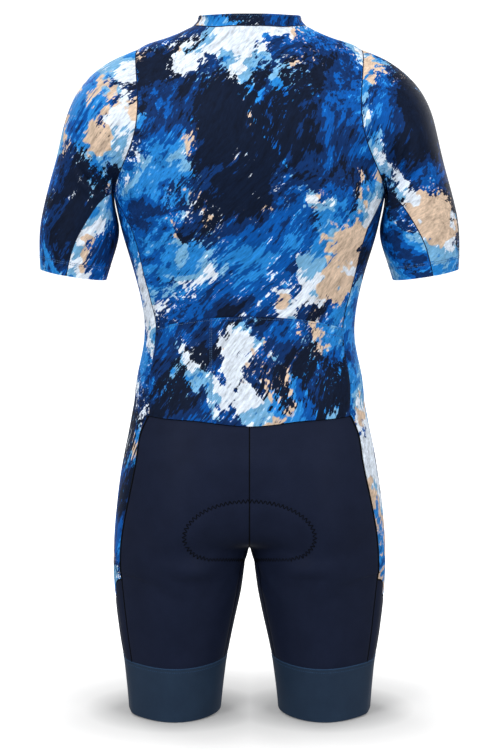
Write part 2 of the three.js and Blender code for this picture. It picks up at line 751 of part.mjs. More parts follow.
function placed(solid, at) {
  const mesh = solid.getMesh();
  const geometry = geometryOf(mesh.vertProperties, [...mesh.triVerts]);
  const frame = new THREE.Matrix4().makeBasis(new THREE.Vector3(1, 0, 0), at.down, at.out);
  // Across, down and out are a left-handed set, which turns the faces round, so they are turned back.
  if (frame.determinant() < 0) geometry.setIndex([...mesh.triVerts].reverse());
  geometry.applyMatrix4(frame.setPosition(at.point));
  geometry.computeVertexNormals();
  return geometry;
}

const PLATE = { halfWidth: 4.2, halfLength: 4.6, thickness: 1.3 };
const PIVOT = { y: -0.6, z: 3.6, pinRadius: 0.7, eyeBore: 1, eyeRadius: 1.9, halfWidth: 1.7 };
const plateTop = CHAIN.top + 0.5;
const plateBottom = CHAIN.bottom - 0.9;
const { halfWidth: w, halfLength: h, thickness: t } = PLATE;
const mirrored = (solid, sign) => (sign < 0 ? solid.mirror([1, 0, 0]) : solid);
const flange = (sign) => mirrored(block(3.3, w, -h, h, -0.9, plateTop + t), sign);
const lug = (sign) =>
  mirrored(
    rod(2, 3.3, PIVOT.y, PIVOT.z, 1.3, 16).add(block(2, 3.3, PIVOT.y - 1.3, PIVOT.y + 1.3, 1, PIVOT.z)),
    sign,
  );
const sliderParts = [
  block(-w, w, -h, h, plateTop, plateTop + t),
  block(-w, w, -h, h, plateBottom - t, plateBottom),
  block(-1, 1, -h + 0.5, -h + 2.6, plateBottom - t, plateTop + t),
  ...[1, -1].flatMap((sign) => [flange(sign), lug(sign)]),
  rod(-2.6, 2.6, PIVOT.y, PIVOT.z, PIVOT.pinRadius, 16),
];
const slider = sliderParts.reduce((whole, piece) => whole.add(piece));
const sliderAt = onZip(SLIDER_Z);
addPiece("zip_slider", placed(slider, sliderAt), zipMetal);

// The pull hangs from the slider's pin, clear of the chest that slopes out below it.
const PULL = { length: 21, halfWidth: 3, thickness: 1.3, lean: 10 };
const tabEnd = PULL.length - PULL.halfWidth;
const plate = (halfWidth, from, to) =>
  block(-halfWidth, halfWidth, from, to, -PULL.thickness / 2, PULL.thickness / 2);
const tab = plate(PULL.halfWidth, 2.4, tabEnd)
  .add(disc(tabEnd, PULL.halfWidth, PULL.thickness, 20))
  .add(plate(PIVOT.halfWidth, 0, 2.6))
  .add(rod(-PIVOT.halfWidth, PIVOT.halfWidth, 0, 0, PIVOT.eyeRadius, 24))
  .subtract(rod(-PIVOT.halfWidth - 1, PIVOT.halfWidth + 1, 0, 0, PIVOT.eyeBore, 24))
  .subtract(disc(tabEnd - 0.4, 1.3, 4, 16));
const pull = tab.rotate([PULL.lean, 0, 0]).translate([0, PIVOT.y, PIVOT.z]);
addPiece("zip_pull", placed(pull, sliderAt), zipMetal);

export default suit;
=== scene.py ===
# %% [markdown]
# # A short-sleeved triathlon suit
# The suit is one skin of stretch knit, filled out as if somebody wore it. Its panels are sewn edge to edge, so
# the whole skin is made first, as one smooth surface, and then cut into its panels along the seams. This file
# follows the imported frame: it repeats the pattern's rings, refines them and adds what the eye sees, which is
# creases, stitching, the print, the knit and the zip's teeth.

# %% Load the frame
import json
import math
import random

import bmesh
import bpy
import numpy as np
from mathutils import Matrix, Vector, kdtree, noise


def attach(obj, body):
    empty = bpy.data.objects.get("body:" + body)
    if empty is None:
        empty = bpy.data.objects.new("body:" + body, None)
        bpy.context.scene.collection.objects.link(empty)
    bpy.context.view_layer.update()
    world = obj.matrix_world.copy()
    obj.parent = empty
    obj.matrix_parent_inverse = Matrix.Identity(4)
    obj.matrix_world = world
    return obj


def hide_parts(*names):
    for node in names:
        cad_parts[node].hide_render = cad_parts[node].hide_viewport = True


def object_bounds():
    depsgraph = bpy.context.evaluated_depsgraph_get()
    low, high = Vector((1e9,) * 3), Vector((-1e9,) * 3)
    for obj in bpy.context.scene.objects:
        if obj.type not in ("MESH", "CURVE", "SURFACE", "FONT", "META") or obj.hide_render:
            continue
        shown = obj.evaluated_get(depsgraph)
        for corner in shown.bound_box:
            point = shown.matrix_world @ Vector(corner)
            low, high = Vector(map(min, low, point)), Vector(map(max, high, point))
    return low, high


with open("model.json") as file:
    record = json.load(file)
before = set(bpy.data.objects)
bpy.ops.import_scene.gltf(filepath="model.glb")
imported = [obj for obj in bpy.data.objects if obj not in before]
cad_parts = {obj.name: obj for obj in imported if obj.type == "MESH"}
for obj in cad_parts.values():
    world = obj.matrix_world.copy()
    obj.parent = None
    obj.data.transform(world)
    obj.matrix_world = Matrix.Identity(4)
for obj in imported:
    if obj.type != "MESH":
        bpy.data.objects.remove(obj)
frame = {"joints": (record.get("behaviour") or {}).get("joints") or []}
cad_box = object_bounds()
bpy.ops.object.select_all(action="DESELECT")
MM = 0.001
print("CAD box", [round(v, 3) for corner in cad_box for v in corner])

# %% [markdown]
# The camera comes first. The photo was taken from behind the suit, from 3 m away, a little below the shoulders
# and looking slightly down: that is how level hems and the waist seam bow in the picture. A long lens keeps the
# proportions. The two legs stand free, so the camera is all that fixes the view.

# %% Camera
CAMERA_DISTANCE = 3.0
CAMERA_HEIGHT = -0.1
CAMERA_PITCH = 7.16  # degrees below level
CAMERA_ASIDE = -0.0007

camera_data = bpy.data.cameras.new("camera")
camera_data.lens = 105
camera_data.sensor_width = 36
camera = bpy.data.objects.new("camera", camera_data)
camera.location = (CAMERA_ASIDE, CAMERA_DISTANCE, CAMERA_HEIGHT)
camera.rotation_euler = (math.radians(90 - CAMERA_PITCH), 0, math.radians(180))
bpy.context.scene.collection.objects.link(camera)
bpy.context.scene.camera = camera

# %% [markdown]
# The pattern. Each table row is a ring round the suit, in millimetres, as a tape measure would give it. A ring
# of the body is a squared oval, and the side panel's seams run at set widths on it. The sleeve's and the leg's
# rings are ovals given by their outermost and innermost points.

# %% Pattern tables
ZIP_HALF_GAP = 6

BODY_COLUMNS = "z_side z_back z_front half_width back front hollow front_hollow seam_back seam_front"
BODY_RINGS = [
    (-222, -215, -218, 187, 97, 117, 3, 0, 183.5, 181),
    (-280, -268, -275, 174, 91, 116, 5, 0, 158, 152),
    (-345, -325, -340, 155, 81, 111, 5, 0, 142, 132),
    (-414, -389, -408, 144.5, 74, 104, 4, 0, 127.5, 118),
    (-472, -460, -470, 154, 79, 101, 3, 0, 134.8, 128),
    (-508, -516, -518, 158.7, 88.5, 100.3, 2, 0, 136.2, 136),
    (-523, -530, -532, 161.1, 91.6, 100, 2, 0, 137.5, 138),
    (-548, -560, -553, 166.1, 101.5, 98.9, 3.5, 0, 148.8, 146.5),
    (-585, -592, -585, 173.5, 112, 97, 6, 0, 154.4, 150.5),
    (-640, -652, -645, 182.5, 120, 94, 20, 7, 166, 158),
    (-695, -696, -698, 188, 113, 92, 38, 38, 175.5, 164),
]
BODY_SQUARENESS = 2.45
WAIST_RING, WAIST_DIP = 6, 5.5  # the waist seam comes to a point at the centre back
POCKET_RING = 3

YOKE_COLUMNS = "back_y back_z front_y front_z end_back_x end_back_y end_back_z"
YOKE_COLUMNS += " end_front_x end_front_y end_front_z"
YOKE_ROWS = [
    (97, -168, -114, -178, 159, 66, -160, 153, -64, -160),
    (90, -122, -106, -138, 149.5, 59, -96, 146, -53, -98),
    (77, -78, -94, -101, 152, -2, -31.5, 152, -2, -31.5),
    (62, -38, -80, -73, 115, -3, -17.5, 115, -3, -17.5),
    (47, -1, -66, -49, 79, -4, -2, 79, -4, -2),
]
YOKE_FULLNESS = 2.7

COLLAR_COLUMNS = "back_y back_z side_x side_y side_z front_y front_z"
COLLAR_TOP = (43, 15, 69.5, -5, 11.5, -67, -30)

SLEEVE_COLUMNS = "x_out z_out x_in z_in back front seam_back seam_front"
SLEEVE_RINGS = [
    (187, -47, 187, -234, 65, 60, 152, 152),
    (223, -75, 184.6, -246, 63, 60, 140, 142),
    (247.5, -117, 181.4, -259, 60, 59, 126, 130),
    (260.5, -166, 178.8, -275, 57, 57, 111, 117),
    (275, -219, 181, -295, 54, 55, 99, 105),
    (287, -273, 189, -320, 51, 53, 90, 96),
    (287.5, -330, 197, -345, 48, 51, 82, 88),
]
SLEEVE_FORWARD = 4

LEG_COLUMNS = "z_side z_back x_in x_out back front seam_back slant"
LEG_RINGS = [
    (-732, -727, 5, 190, 101, 85.5, 178, 0),
    (-760, -756, 9, 189.5, 95, 85.5, 178, 12),
    (-788, -783, 13.5, 187.5, 91, 84.5, 176.5, 30),
    (-828, -826, 22, 183.5, 86, 81.5, 169.5, 6),
    (-868, -873, 30.5, 177.5, 82, 78, 163, 0),
    (-906, -910, 36, 173, 80, 75, 158.7, 0),
    (-945, -948, 40, 170, 78, 73, 156, 0),
]
LEG_SEAM_FRONT, LEG_INSEAM, LEG_SEAT_NODE, LEG_BACK_NODE = 38, 20, 60, 100
SLANT_RING, BAND_RING = 2, 4
CROTCH_Z, CROTCH_BACK_Y, CROTCH_FRONT_Y = -713, 26, -14


def named(columns, rows):
    """Table rows as dictionaries with the columns' names."""
    return [dict(zip(columns.split(), row)) for row in rows]


# %% [markdown]
# The net. Neighbouring panels share the nodes of their seam, so the skin has no gaps and bends smoothly across
# every seam. A node is found by its key, and each quad remembers its panel and its place in the panel's rows
# and columns, which later gives the direction of the knit.

# %% The net
nodes, node_of, quads = [], {}, []


def node(key, x, y, z):
    return key, (x, y, z)


def number_of(key, place):
    if key not in node_of:
        node_of[key] = len(nodes)
        nodes.append(place)
    return node_of[key]


def add_grid(panel, side, rows, first=0):
    """Adds a panel's quads. Its columns are counted from the first one given."""
    for i in range(len(rows) - 1):
        for j in range(len(rows[i]) - 1):
            at = [(i, j), (i + 1, j), (i + 1, j + 1), (i, j + 1)]
            at = at if side > 0 else at[::-1]
            corners = [number_of(*rows[a][b]) for a, b in at]
            quads.append((panel, corners, [(row, column + first) for row, column in at]))


def body_row(ring, side, index):
    def seam_angle(x):
        return math.asin((x / ring["half_width"]) ** (BODY_SQUARENESS / 2))

    back, front, quarter = seam_angle(ring["seam_back"]), seam_angle(ring["seam_front"]), math.pi / 2
    angles = [0, back / 3, back * 2 / 3, back, (back + quarter) / 2, quarter]
    angles += [(front + quarter) / 2, front, front * 2 / 3, front / 3, 0]
    row = []
    for column, angle in enumerate(angles):
        depth, z_centre = (ring["back"], ring["z_back"]) if column < 6 else (-ring["front"], ring["z_front"])
        power, c = 2 / BODY_SQUARENESS, math.cos(angle)
        x, y = ring["half_width"] * math.sin(angle) ** power, depth * max(c, 0) ** power
        z = ring["z_side"] + (z_centre - ring["z_side"]) * c * c
        own_side = side
        if column == 0:
            y, own_side = y - ring["hollow"], 0
            z -= WAIST_DIP * (index == WAIST_RING)
        if column == 10:
            y += ring["front_hollow"]
            zipped = index < WAIST_RING
            x, own_side = (ZIP_HALF_GAP, side) if zipped else (0, 0)
        row.append(node(("body", index, column, own_side), side * x, y, z))
    return row


def yoke_row(row, side, index, face):
    start = (0 if face == "back" else ZIP_HALF_GAP, row[f"{face}_y"], row[f"{face}_z"])
    end = [row[f"end_{face}_{axis}"] for axis in "xyz"]
    made = []
    for k in range(4):
        s = k / 3
        x = start[0] + (end[0] - start[0]) * s
        y = end[1] + (start[1] - end[1]) * (1 - s**YOKE_FULLNESS)
        z = start[2] + (end[2] - start[2]) * s * s
        sewn = k == 3 and index >= 2
        own_side = 0 if k == 0 and face == "back" else side
        made.append(node(("yoke", index, "shoulder" if sewn else (face, k), own_side), side * x, y, z))
    return made


def collar_rows(side, neck_back, neck_front):
    top = named(COLLAR_COLUMNS, [COLLAR_TOP])[0]
    rows = []
    for k in range(7):
        a = min(k, 6 - k) / 3 * math.pi / 2
        s, c = math.sin(a), max(math.cos(a), 0)
        if k < 3:
            x = top["side_x"] * s**0.95
            y = top["side_y"] + (top["back_y"] - top["side_y"]) * c**0.9
            z = top["side_z"] + (top["back_z"] - top["side_z"]) * c
        else:
            x = ZIP_HALF_GAP + (top["side_x"] - ZIP_HALF_GAP) * s
            y = top["side_y"] + (top["front_y"] - top["side_y"]) * c**0.9
            z = top["side_z"] + (top["front_z"] - top["side_z"]) * c**1.3
        rows.append(node(("collar", k, side if k else 0), side * x, y, z))
    return [neck_back + neck_front[::-1][1:], rows]


def sleeve_row(ring, side, index):
    t = index / (len(SLEEVE_RINGS) - 1)
    upper, lower = 0.42 - 0.08 * t, 0.7 - 0.03 * t
    middle = ((ring["x_out"] + ring["x_in"]) / 2, (ring["z_out"] + ring["z_in"]) / 2)
    arm = ((ring["x_out"] - ring["x_in"]) / 2, (ring["z_out"] - ring["z_in"]) / 2)
    seams = (ring["seam_back"], ring["seam_front"])
    half = [[seam * upper, seam * lower, seam, (seam + 180) / 2] for seam in seams]
    stations = [(0, 1)] + [(a, 1) for a in half[0]] + [(180, 1)] + [(a, -1) for a in half[1][::-1]]
    row = []
    for k, (degrees, facing) in enumerate(stations):
        a = math.radians(degrees)
        depth = ring["back"] if facing > 0 else -ring["front"]
        x, z = (middle[i] + arm[i] * math.cos(a) for i in (0, 1))
        row.append(node(("sleeve", index, k, side), side * x, depth * math.sin(a) - SLEEVE_FORWARD * t, z))
    return row


def leg_row(ring, side, index):
    middle, half_width = (ring["x_in"] + ring["x_out"]) / 2, (ring["x_out"] - ring["x_in"]) / 2
    seam = math.degrees(math.acos((ring["seam_back"] - middle) / half_width))
    back = [(LEG_INSEAM, 0), (LEG_SEAT_NODE, 0), (LEG_BACK_NODE, 0.35)]
    back += [(180 - seam, 1), (180 - seam / 2, 0.32), (180, 0)]
    front = [(180 - LEG_SEAM_FRONT / 2, -0.5), (180 - LEG_SEAM_FRONT, -1), (LEG_BACK_NODE, -0.35)]
    front += [(LEG_SEAT_NODE, 0), (LEG_INSEAM, 0)]
    row = []
    for k, (degrees, slanted) in enumerate(back + front):
        a, behind = math.radians(degrees), k < 6
        depth = ring["back"] if behind else -ring["front"]
        drop = (ring["z_back"] - ring["z_side"]) * math.sin(a) if behind else 0
        x, z = middle - half_width * math.cos(a), ring["z_side"] + drop + ring["slant"] * slanted
        row.append(node(("leg", index, k, side), side * x, depth * math.sin(a), z))
    return row


def cut(rows, first, last):
    return [row[first : last + 1] for row in rows]


for side, hand in ((1, "left"), (-1, "right")):
    body = [body_row(ring, side, i) for i, ring in enumerate(named(BODY_COLUMNS, BODY_RINGS))]
    yokes = named(YOKE_COLUMNS, YOKE_ROWS)
    yoke_back = [yoke_row(row, side, i, "back") for i, row in enumerate(yokes)]
    yoke_front = [yoke_row(row, side, i, "front") for i, row in enumerate(yokes)]
    jersey = body[WAIST_RING::-1]
    add_grid("back_panel", side, cut(jersey, 0, 3) + yoke_back)
    add_grid(f"front_{hand}", side, cut(jersey, 7, 10) + [row[::-1] for row in yoke_front])
    add_grid("collar", side, collar_rows(side, yoke_back[-1], yoke_front[-1]))
    armhole = [yoke_back[i][3] for i in (2, 1, 0)] + body[0][3:8] + [yoke_front[i][3] for i in (0, 1)]
    sleeve_rings = named(SLEEVE_COLUMNS, SLEEVE_RINGS)
    sleeve = [armhole] + [sleeve_row(ring, side, i) for i, ring in enumerate(sleeve_rings)]
    add_grid(f"sleeve_{hand}", side, [row[7:] + row[:4] for row in sleeve])
    add_grid(f"underarm_{hand}", side, cut(sleeve, 3, 7))
    legs = [leg_row(ring, side, i) for i, ring in enumerate(named(LEG_COLUMNS, LEG_RINGS))]
    legs[0][0] = node("crotch back", 0, CROTCH_BACK_Y, CROTCH_Z)
    legs[0][10] = node("crotch front", 0, CROTCH_FRONT_Y, CROTCH_Z)
    thigh = legs[: BAND_RING + 1]
    shorts = body[WAIST_RING:] + thigh
    add_grid(f"seat_{hand}", side, cut(shorts, 0, 3)[::-1])
    add_grid(f"thigh_front_{hand}", side, cut(shorts, 7, 10)[::-1])
    add_grid(f"thigh_front_{hand}", side, [[row[10], row[0]] for row in thigh][::-1], first=3)
    add_grid(f"side_panel_{hand}", side, cut(body + legs[: SLANT_RING + 1], 3, 7)[::-1])
    add_grid(f"leg_side_{hand}", side, cut(legs[SLANT_RING : BAND_RING + 1], 3, 7)[::-1])
    add_grid(f"leg_band_{hand}", side, [row + row[:1] for row in legs[BAND_RING:]][::-1])

PANELS = sorted({panel for panel, _, _ in quads})
print(len(nodes), "nodes,", len(quads), "quads,", len(PANELS), "panels")

# %% [markdown]
# A subdivision surface shrinks away from its control net. Here it has to pass through the measured rings, so
# the net is first corrected: each round works out where every node lies on the finished surface, and moves the
# node by what is missing. The weights are those of Catmull and Clark's surface, for a node inside the skin, on
# an edge, and at a corner.

# %% Fit the net to the rings
FIT_ROUNDS = 14


def limit_weights(count, faces):
    """A matrix that takes the net's nodes to their places on the finished surface."""
    edge_faces, own_faces = {}, [[] for _ in range(count)]
    for f, face in enumerate(faces):
        for k, a in enumerate(face):
            edge_faces.setdefault(frozenset((a, face[(k + 1) % 4])), []).append(f)
            own_faces[a].append(f)
    weights = np.zeros((count, count))
    edges_of = [[] for _ in range(count)]
    for ends, sides in edge_faces.items():
        for a in ends:
            (b,) = ends - {a}
            edges_of[a].append((b, len(sides) == 1))
    for v in range(count):
        rim = [b for b, open_edge in edges_of[v] if open_edge]
        n = len(own_faces[v])
        if n == 1:
            weights[v, v] = 1
        elif rim:
            weights[v, v] = 4 / 6
            weights[v, rim] += 1 / 6
        else:
            weights[v, v] = n * n
            for b, _ in edges_of[v]:
                weights[v, b] += 4
            for f in own_faces[v]:
                weights[v, faces[f][(faces[f].index(v) + 2) % 4]] += 1
            weights[v] /= n * (n + 5)
    return weights


targets = np.array(nodes) * MM
net_faces = [face for _, face, _ in quads]
weights = limit_weights(len(nodes), net_faces)
fitted = targets.copy()
for _ in range(FIT_ROUNDS):
    fitted += targets - weights @ fitted
print("largest miss", round(float(np.abs(weights @ fitted - targets).max()) * 1000, 3), "mm")

# %% Refine the skin
SKIN_LEVELS = 4


def make_object(name, mesh):
    thing = bpy.data.objects.new(name, mesh)
    bpy.context.scene.collection.objects.link(thing)
    return thing


def only(thing):
    """Selects one object alone, because an operator acts on all that is selected."""
    bpy.ops.object.select_all(action="DESELECT")
    bpy.context.view_layer.objects.active = thing
    thing.select_set(True)


def apply_all(thing):
    """Applies an object's modifiers, as by hand."""
    only(thing)
    for modifier in list(thing.modifiers):
        bpy.ops.object.modifier_apply(modifier=modifier.name)


net_mesh = bpy.data.meshes.new("suit_net")
net_mesh.from_pydata(fitted.tolist(), [], net_faces)
panel_mark = net_mesh.attributes.new("panel", "INT", "FACE")
panel_mark.data.foreach_set("value", [PANELS.index(panel) for panel, _, _ in quads])
place_map = net_mesh.uv_layers.new(name="place")
place_map.data.foreach_set("uv", [c for _, _, at in quads for row, column in at for c in (column, row)])
net = make_object("suit_net", net_mesh)
refine = net.modifiers.new("refine", "SUBSURF")
refine.levels = refine.render_levels = SKIN_LEVELS
refine.use_limit_surface = True
refine.boundary_smooth = "PRESERVE_CORNERS"
refine.uv_smooth = "NONE"
apply_all(net)


class Skin:
    """The refined skin as arrays: points, normals, quads, and each quad's panel and place."""

    def __init__(self, mesh):
        count, faces = len(mesh.vertices), len(mesh.polygons)
        self.points = np.empty(count * 3)
        mesh.vertices.foreach_get("co", self.points)
        self.points = self.points.reshape(-1, 3)
        corners, edges = np.empty(faces * 4, int), np.empty(faces * 4, int)
        mesh.loops.foreach_get("vertex_index", corners)
        mesh.loops.foreach_get("edge_index", edges)
        self.faces, self.face_edges = corners.reshape(-1, 4), edges.reshape(-1, 4)
        self.edges = np.empty(len(mesh.edges) * 2, int)
        mesh.edges.foreach_get("vertices", self.edges)
        self.edges = self.edges.reshape(-1, 2)
        self.panel = np.empty(faces, int)
        mesh.attributes["panel"].data.foreach_get("value", self.panel)
        place = np.empty(faces * 8)
        mesh.uv_layers["place"].data.foreach_get("uv", place)
        self.place = place.reshape(-1, 4, 2)

    def normals(self):
        a, b, c, d = (self.points[self.faces[:, k]] for k in range(4))
        facing = np.cross(c - a, d - b)
        total = np.zeros_like(self.points)
        for k in range(4):
            np.add.at(total, self.faces[:, k], facing)
        return total / np.linalg.norm(total, axis=1, keepdims=True)


skin = Skin(net.data)
bpy.data.objects.remove(net)
print(len(skin.points), "points,", len(skin.faces), "quads in the skin")

# %% [markdown]
# The seams are where the panel changes from one quad to the next, and the hems are where the skin ends. They
# are found once, from the skin itself, and joined into lines. The pinch, the flat seams and the stitching all
# follow these lines.

# %% Seams and hems
edge_sides = [[] for _ in skin.edges]
for face, face_edges in enumerate(skin.face_edges):
    for edge in face_edges:
        edge_sides[edge].append(face)

seam_edges = {}
for edge, faces in enumerate(edge_sides):
    around = frozenset(PANELS[skin.panel[f]] for f in faces)
    if len(faces) == 1 or len(around) == 2:
        seam_edges.setdefault(around, []).append(tuple(skin.edges[edge]))


def chains(edges):
    """Edges joined into lines of vertices. A closed line starts and ends at the same vertex."""
    links = {}
    for a, b in edges:
        links.setdefault(int(a), []).append(int(b))
        links.setdefault(int(b), []).append(int(a))
    left = {frozenset((int(a), int(b))) for a, b in edges}
    lines = []
    while left:
        open_ends = [v for v in links if sum(frozenset((v, b)) in left for b in links[v]) == 1]
        line = [min(open_ends) if open_ends else min(min(edge) for edge in left)]
        while True:
            following = [b for b in links[line[-1]] if frozenset((line[-1], b)) in left]
            if not following:
                break
            left.discard(frozenset((line[-1], following[0])))
            line.append(following[0])
        lines.append(line)
    return lines


def is_kind(panel, kind):
    return panel.rsplit("_", 1)[0] == kind or panel == kind


def seam_lines(*kinds):
    """The lines of each seam between two kinds of panel, or of one kind's hems."""
    lines = []
    for around, edges in seam_edges.items():
        own = sorted(around)
        if len(kinds) == 1:
            match = len(own) == 1 and is_kind(own[0], kinds[0])
        else:
            orders = (kinds, kinds[::-1])
            match = len(own) == 2 and any(is_kind(own[0], a) and is_kind(own[1], b) for a, b in orders)
        if match:
            lines += chains(edges)
    return lines


STEPS = 2**SKIN_LEVELS  # points along each side of one quad of the net


def panel_grid(name, side):
    """A panel's points on one side of the suit, as rows and columns of numbers. -1 is no point."""
    middle = skin.points[skin.faces].mean(axis=1)
    own = (skin.panel == PANELS.index(name)) & (middle[:, 0] * side > 0)
    places = np.rint(skin.place[own] * STEPS).astype(int)
    grid = np.full(places.reshape(-1, 2).max(axis=0) + 1, -1)
    grid[places[..., 0], places[..., 1]] = skin.faces[own]
    return grid.T


print(len(seam_edges), "seams and hems")

# %% [markdown]
# The pad's outline is sewn through the shorts, so it shows as a soft relief: the pad lifts the cloth a little
# and the stitching draws it in. The outline is the zero line of a field: a wide lobe under the seat with a
# straight foot, a bridge between the legs and a smaller lobe in front. Distances on it are in metres.

# %% The seat pad's field
PAD_CENTRE_Y, PAD_CENTRE_Z = 10 * MM, -640 * MM
PAD_LOBES = [(24, 27, 88 * MM), (164, 26, 48 * MM)]  # turn and half turn in degrees, and half width
PAD_BRIDGE_TURN, PAD_BRIDGE_HALF_TURN, PAD_BRIDGE_HALF_WIDTH = 100, 62, 30 * MM
PAD_FOOT_TURN, PAD_FOOT_HALF_TURN, PAD_FOOT_HALF_WIDTH = 62, 28, 60 * MM
PAD_FOOT_Z, PAD_FOOT_TILT = -737 * MM, 0.21
PAD_REACH = 1.7 * MM  # along the pad for each degree of turn


def pad_field(points):
    x, y, z = points.T
    turn = np.degrees(np.arctan2(PAD_CENTRE_Z - z, y - PAD_CENTRE_Y))
    turn = np.where(turn < -90, turn + 360, turn)
    across = np.abs(x) + np.maximum(0, CROTCH_Z * MM - z)
    fields = []
    for middle, half, width in PAD_LOBES:
        fields.append((np.hypot(across / width, (turn - middle) / half) - 1) * half * PAD_REACH)
    along = (np.abs(turn - PAD_BRIDGE_TURN) - PAD_BRIDGE_HALF_TURN) * PAD_REACH
    fields.append(np.maximum(across - PAD_BRIDGE_HALF_WIDTH, along))
    along = (np.abs(turn - PAD_FOOT_TURN) - PAD_FOOT_HALF_TURN) * PAD_REACH
    below = PAD_FOOT_Z + PAD_FOOT_TILT * y - z
    fields.append(np.maximum.reduce([np.abs(x) - PAD_FOOT_HALF_WIDTH, below, along]))
    return np.minimum.reduce(fields)


# %% [markdown]
# The creases are placed one by one, as soft troughs with a low shoulder on each side. The deepest radiate from the
# armpits, where the sleeve folds. Shallow ones lie under the seat and at the waist, and similar ones lie on the
# front. Each runs through three points, which are dropped onto the skin first.

# %% Creases
CREASE_COLUMNS = "start middle end half_width depth"
CREASES = [
    ((189, 45, -214), (203, 62, -190), (213, 60, -156), 5.0, 5.2),
    ((194, 50, -224), (216, 60, -204), (240, 52, -182), 4.5, 4.0),
    ((186, 45, -205), (190, 58, -178), (188, 60, -140), 4.5, 3.2),
    ((180, 50, -218), (166, 70, -190), (150, 80, -166), 5.5, 1.9),
    ((172, 45, -244), (150, 72, -228), (124, 86, -216), 6.5, 1.4),
    ((166, 45, -270), (146, 72, -262), (126, 84, -258), 7.0, 0.9),
    ((150, 60, -352), (128, 72, -362), (104, 78, -366), 8.0, 0.9),
    ((146, 50, -398), (134, 62, -404), (116, 70, -406), 8.0, 0.7),
    ((106, 92, -742), (80, 92, -748), (46, 78, -742), 8.0, 1.9),
    ((122, 90, -768), (96, 92, -775), (70, 88, -774), 9.0, 0.8),
    ((10, 30, -742), (26, 52, -762), (44, 68, -790), 6.0, 1.0),
    ((187, -42, -212), (200, -58, -188), (210, -58, -160), 4.5, 2.8),
    ((192, -46, -220), (212, -56, -202), (232, -50, -184), 4.0, 1.8),
    ((178, -46, -222), (158, -76, -196), (138, -92, -178), 6.0, 1.4),
    ((168, -46, -250), (142, -88, -238), (112, -106, -232), 7.5, 0.9),
    ((148, -60, -372), (118, -94, -384), (84, -104, -388), 8.0, 0.8),
    ((156, -50, -446), (128, -88, -452), (98, -98, -452), 8.0, 0.7),
    ((14, -60, -700), (46, -84, -684), (84, -90, -664), 7.0, 1.3),
    ((12, -40, -738), (38, -74, -748), (70, -86, -742), 7.0, 1.0),
    ((96, -88, -800), (74, -88, -806), (52, -78, -802), 9.0, 0.6),
    ((262, 36, -226), (250, 46, -244), (232, 50, -256), 6.0, 0.9),
    ((262, -40, -230), (248, -50, -246), (230, -52, -258), 6.0, 0.9),
]
CREASE_SAMPLES = 26
SIDE_DIFFERENCE = 6.0  # how far a crease may stray from its twin on the other side


def tree_of(points):
    tree = kdtree.KDTree(len(points))
    for i, p in enumerate(points):
        tree.insert(p, i)
    tree.balance()
    return tree


def bent_line(start, middle, end, count):
    """Points along a parabola through three points."""
    s = np.linspace(0, 1, count)[:, None]
    return start * (2 * s - 1) * (s - 1) + middle * 4 * s * (1 - s) + end * s * (2 * s - 1)


random.seed(7)
normals = skin.normals()
skin_tree = tree_of(skin.points)
lift = np.zeros(len(skin.points))
for side in (1, -1):
    for crease in named(CREASE_COLUMNS, CREASES):
        ends = [np.array(crease[key], float) for key in ("start", "middle", "end")]
        stray = [np.array([random.uniform(-1, 1), 0, random.uniform(-1, 1)]) * SIDE_DIFFERENCE for _ in ends]
        stray[0] = stray[0] * 0.2
        ends = [(p + d) * MM * (side, 1, 1) for p, d in zip(ends, stray)]
        line = [skin_tree.find(Vector(p))[0] for p in bent_line(*ends, CREASE_SAMPLES)]
        half_width, depth = crease["half_width"] * MM, crease["depth"] * MM * random.uniform(0.8, 1.15)
        best = np.full(len(skin.points), 9.0)
        share = np.zeros(len(skin.points))
        for k, p in enumerate(line):
            away = np.linalg.norm(skin.points - np.array(p), axis=1)
            closer = away < best
            best[closer], share[closer] = away[closer], k / (CREASE_SAMPLES - 1)
        t = best / half_width
        fade = np.clip(np.minimum(share / 0.12 + 0.25, (1 - share) / 0.45), 0, 1)
        profile = -np.exp(-t * t) + 0.35 * np.exp(-((t - 2.1) ** 2))
        lift += profile * depth * fade * (t < 6)

# The cloth between the creases isn't perfectly smooth either.
CALM_SCALE, CALM_DEPTH = 22.0, 0.45 * MM
lift += np.array([noise.noise(Vector(p) * CALM_SCALE) for p in skin.points]) * CALM_DEPTH
print("creases move the skin by", [round(float(v) * 1000, 2) for v in (lift.min(), lift.max())], "mm")

# %% [markdown]
# A seam has two or more layers and a thread that is pulled tight, so it sinks a little between the panels and
# the cloth beside it puckers. The zip is stiffer than the knit, which makes the fronts ripple beside it.

# %% Seam pinch, pad relief and zip ripple
PINCH_DEPTH, PINCH_WIDTH = 0.8 * MM, 3.2 * MM
PUCKER_DEPTH, PUCKER_WIDTH, PUCKER_SCALE = 0.28 * MM, 9 * MM, 120.0
PAD_LIFT, PAD_SLOPE, PAD_GROOVE, PAD_GROOVE_WIDTH = 1.3 * MM, 14 * MM, 0.9 * MM, 3.4 * MM
RIPPLE_DEPTH, RIPPLE_LENGTH, RIPPLE_WIDTH = 0.8 * MM, 46 * MM, 16 * MM
RIPPLE_FIRST_Z, RIPPLE_LAST_Z = -520 * MM, -60 * MM

sewn_edges = [edge for around, edges in seam_edges.items() if len(around) == 2 for edge in edges]
sewn = sorted({int(v) for edge in sewn_edges for v in edge})
sewn_tree = tree_of(skin.points[sewn])
from_seam = np.array([sewn_tree.find(p)[2] for p in skin.points])
lift -= PINCH_DEPTH * np.exp(-((from_seam / PINCH_WIDTH) ** 2))
pucker = np.array([noise.noise(Vector(p) * PUCKER_SCALE) for p in skin.points])
lift += PUCKER_DEPTH * pucker * np.exp(-((from_seam / PUCKER_WIDTH) ** 2))

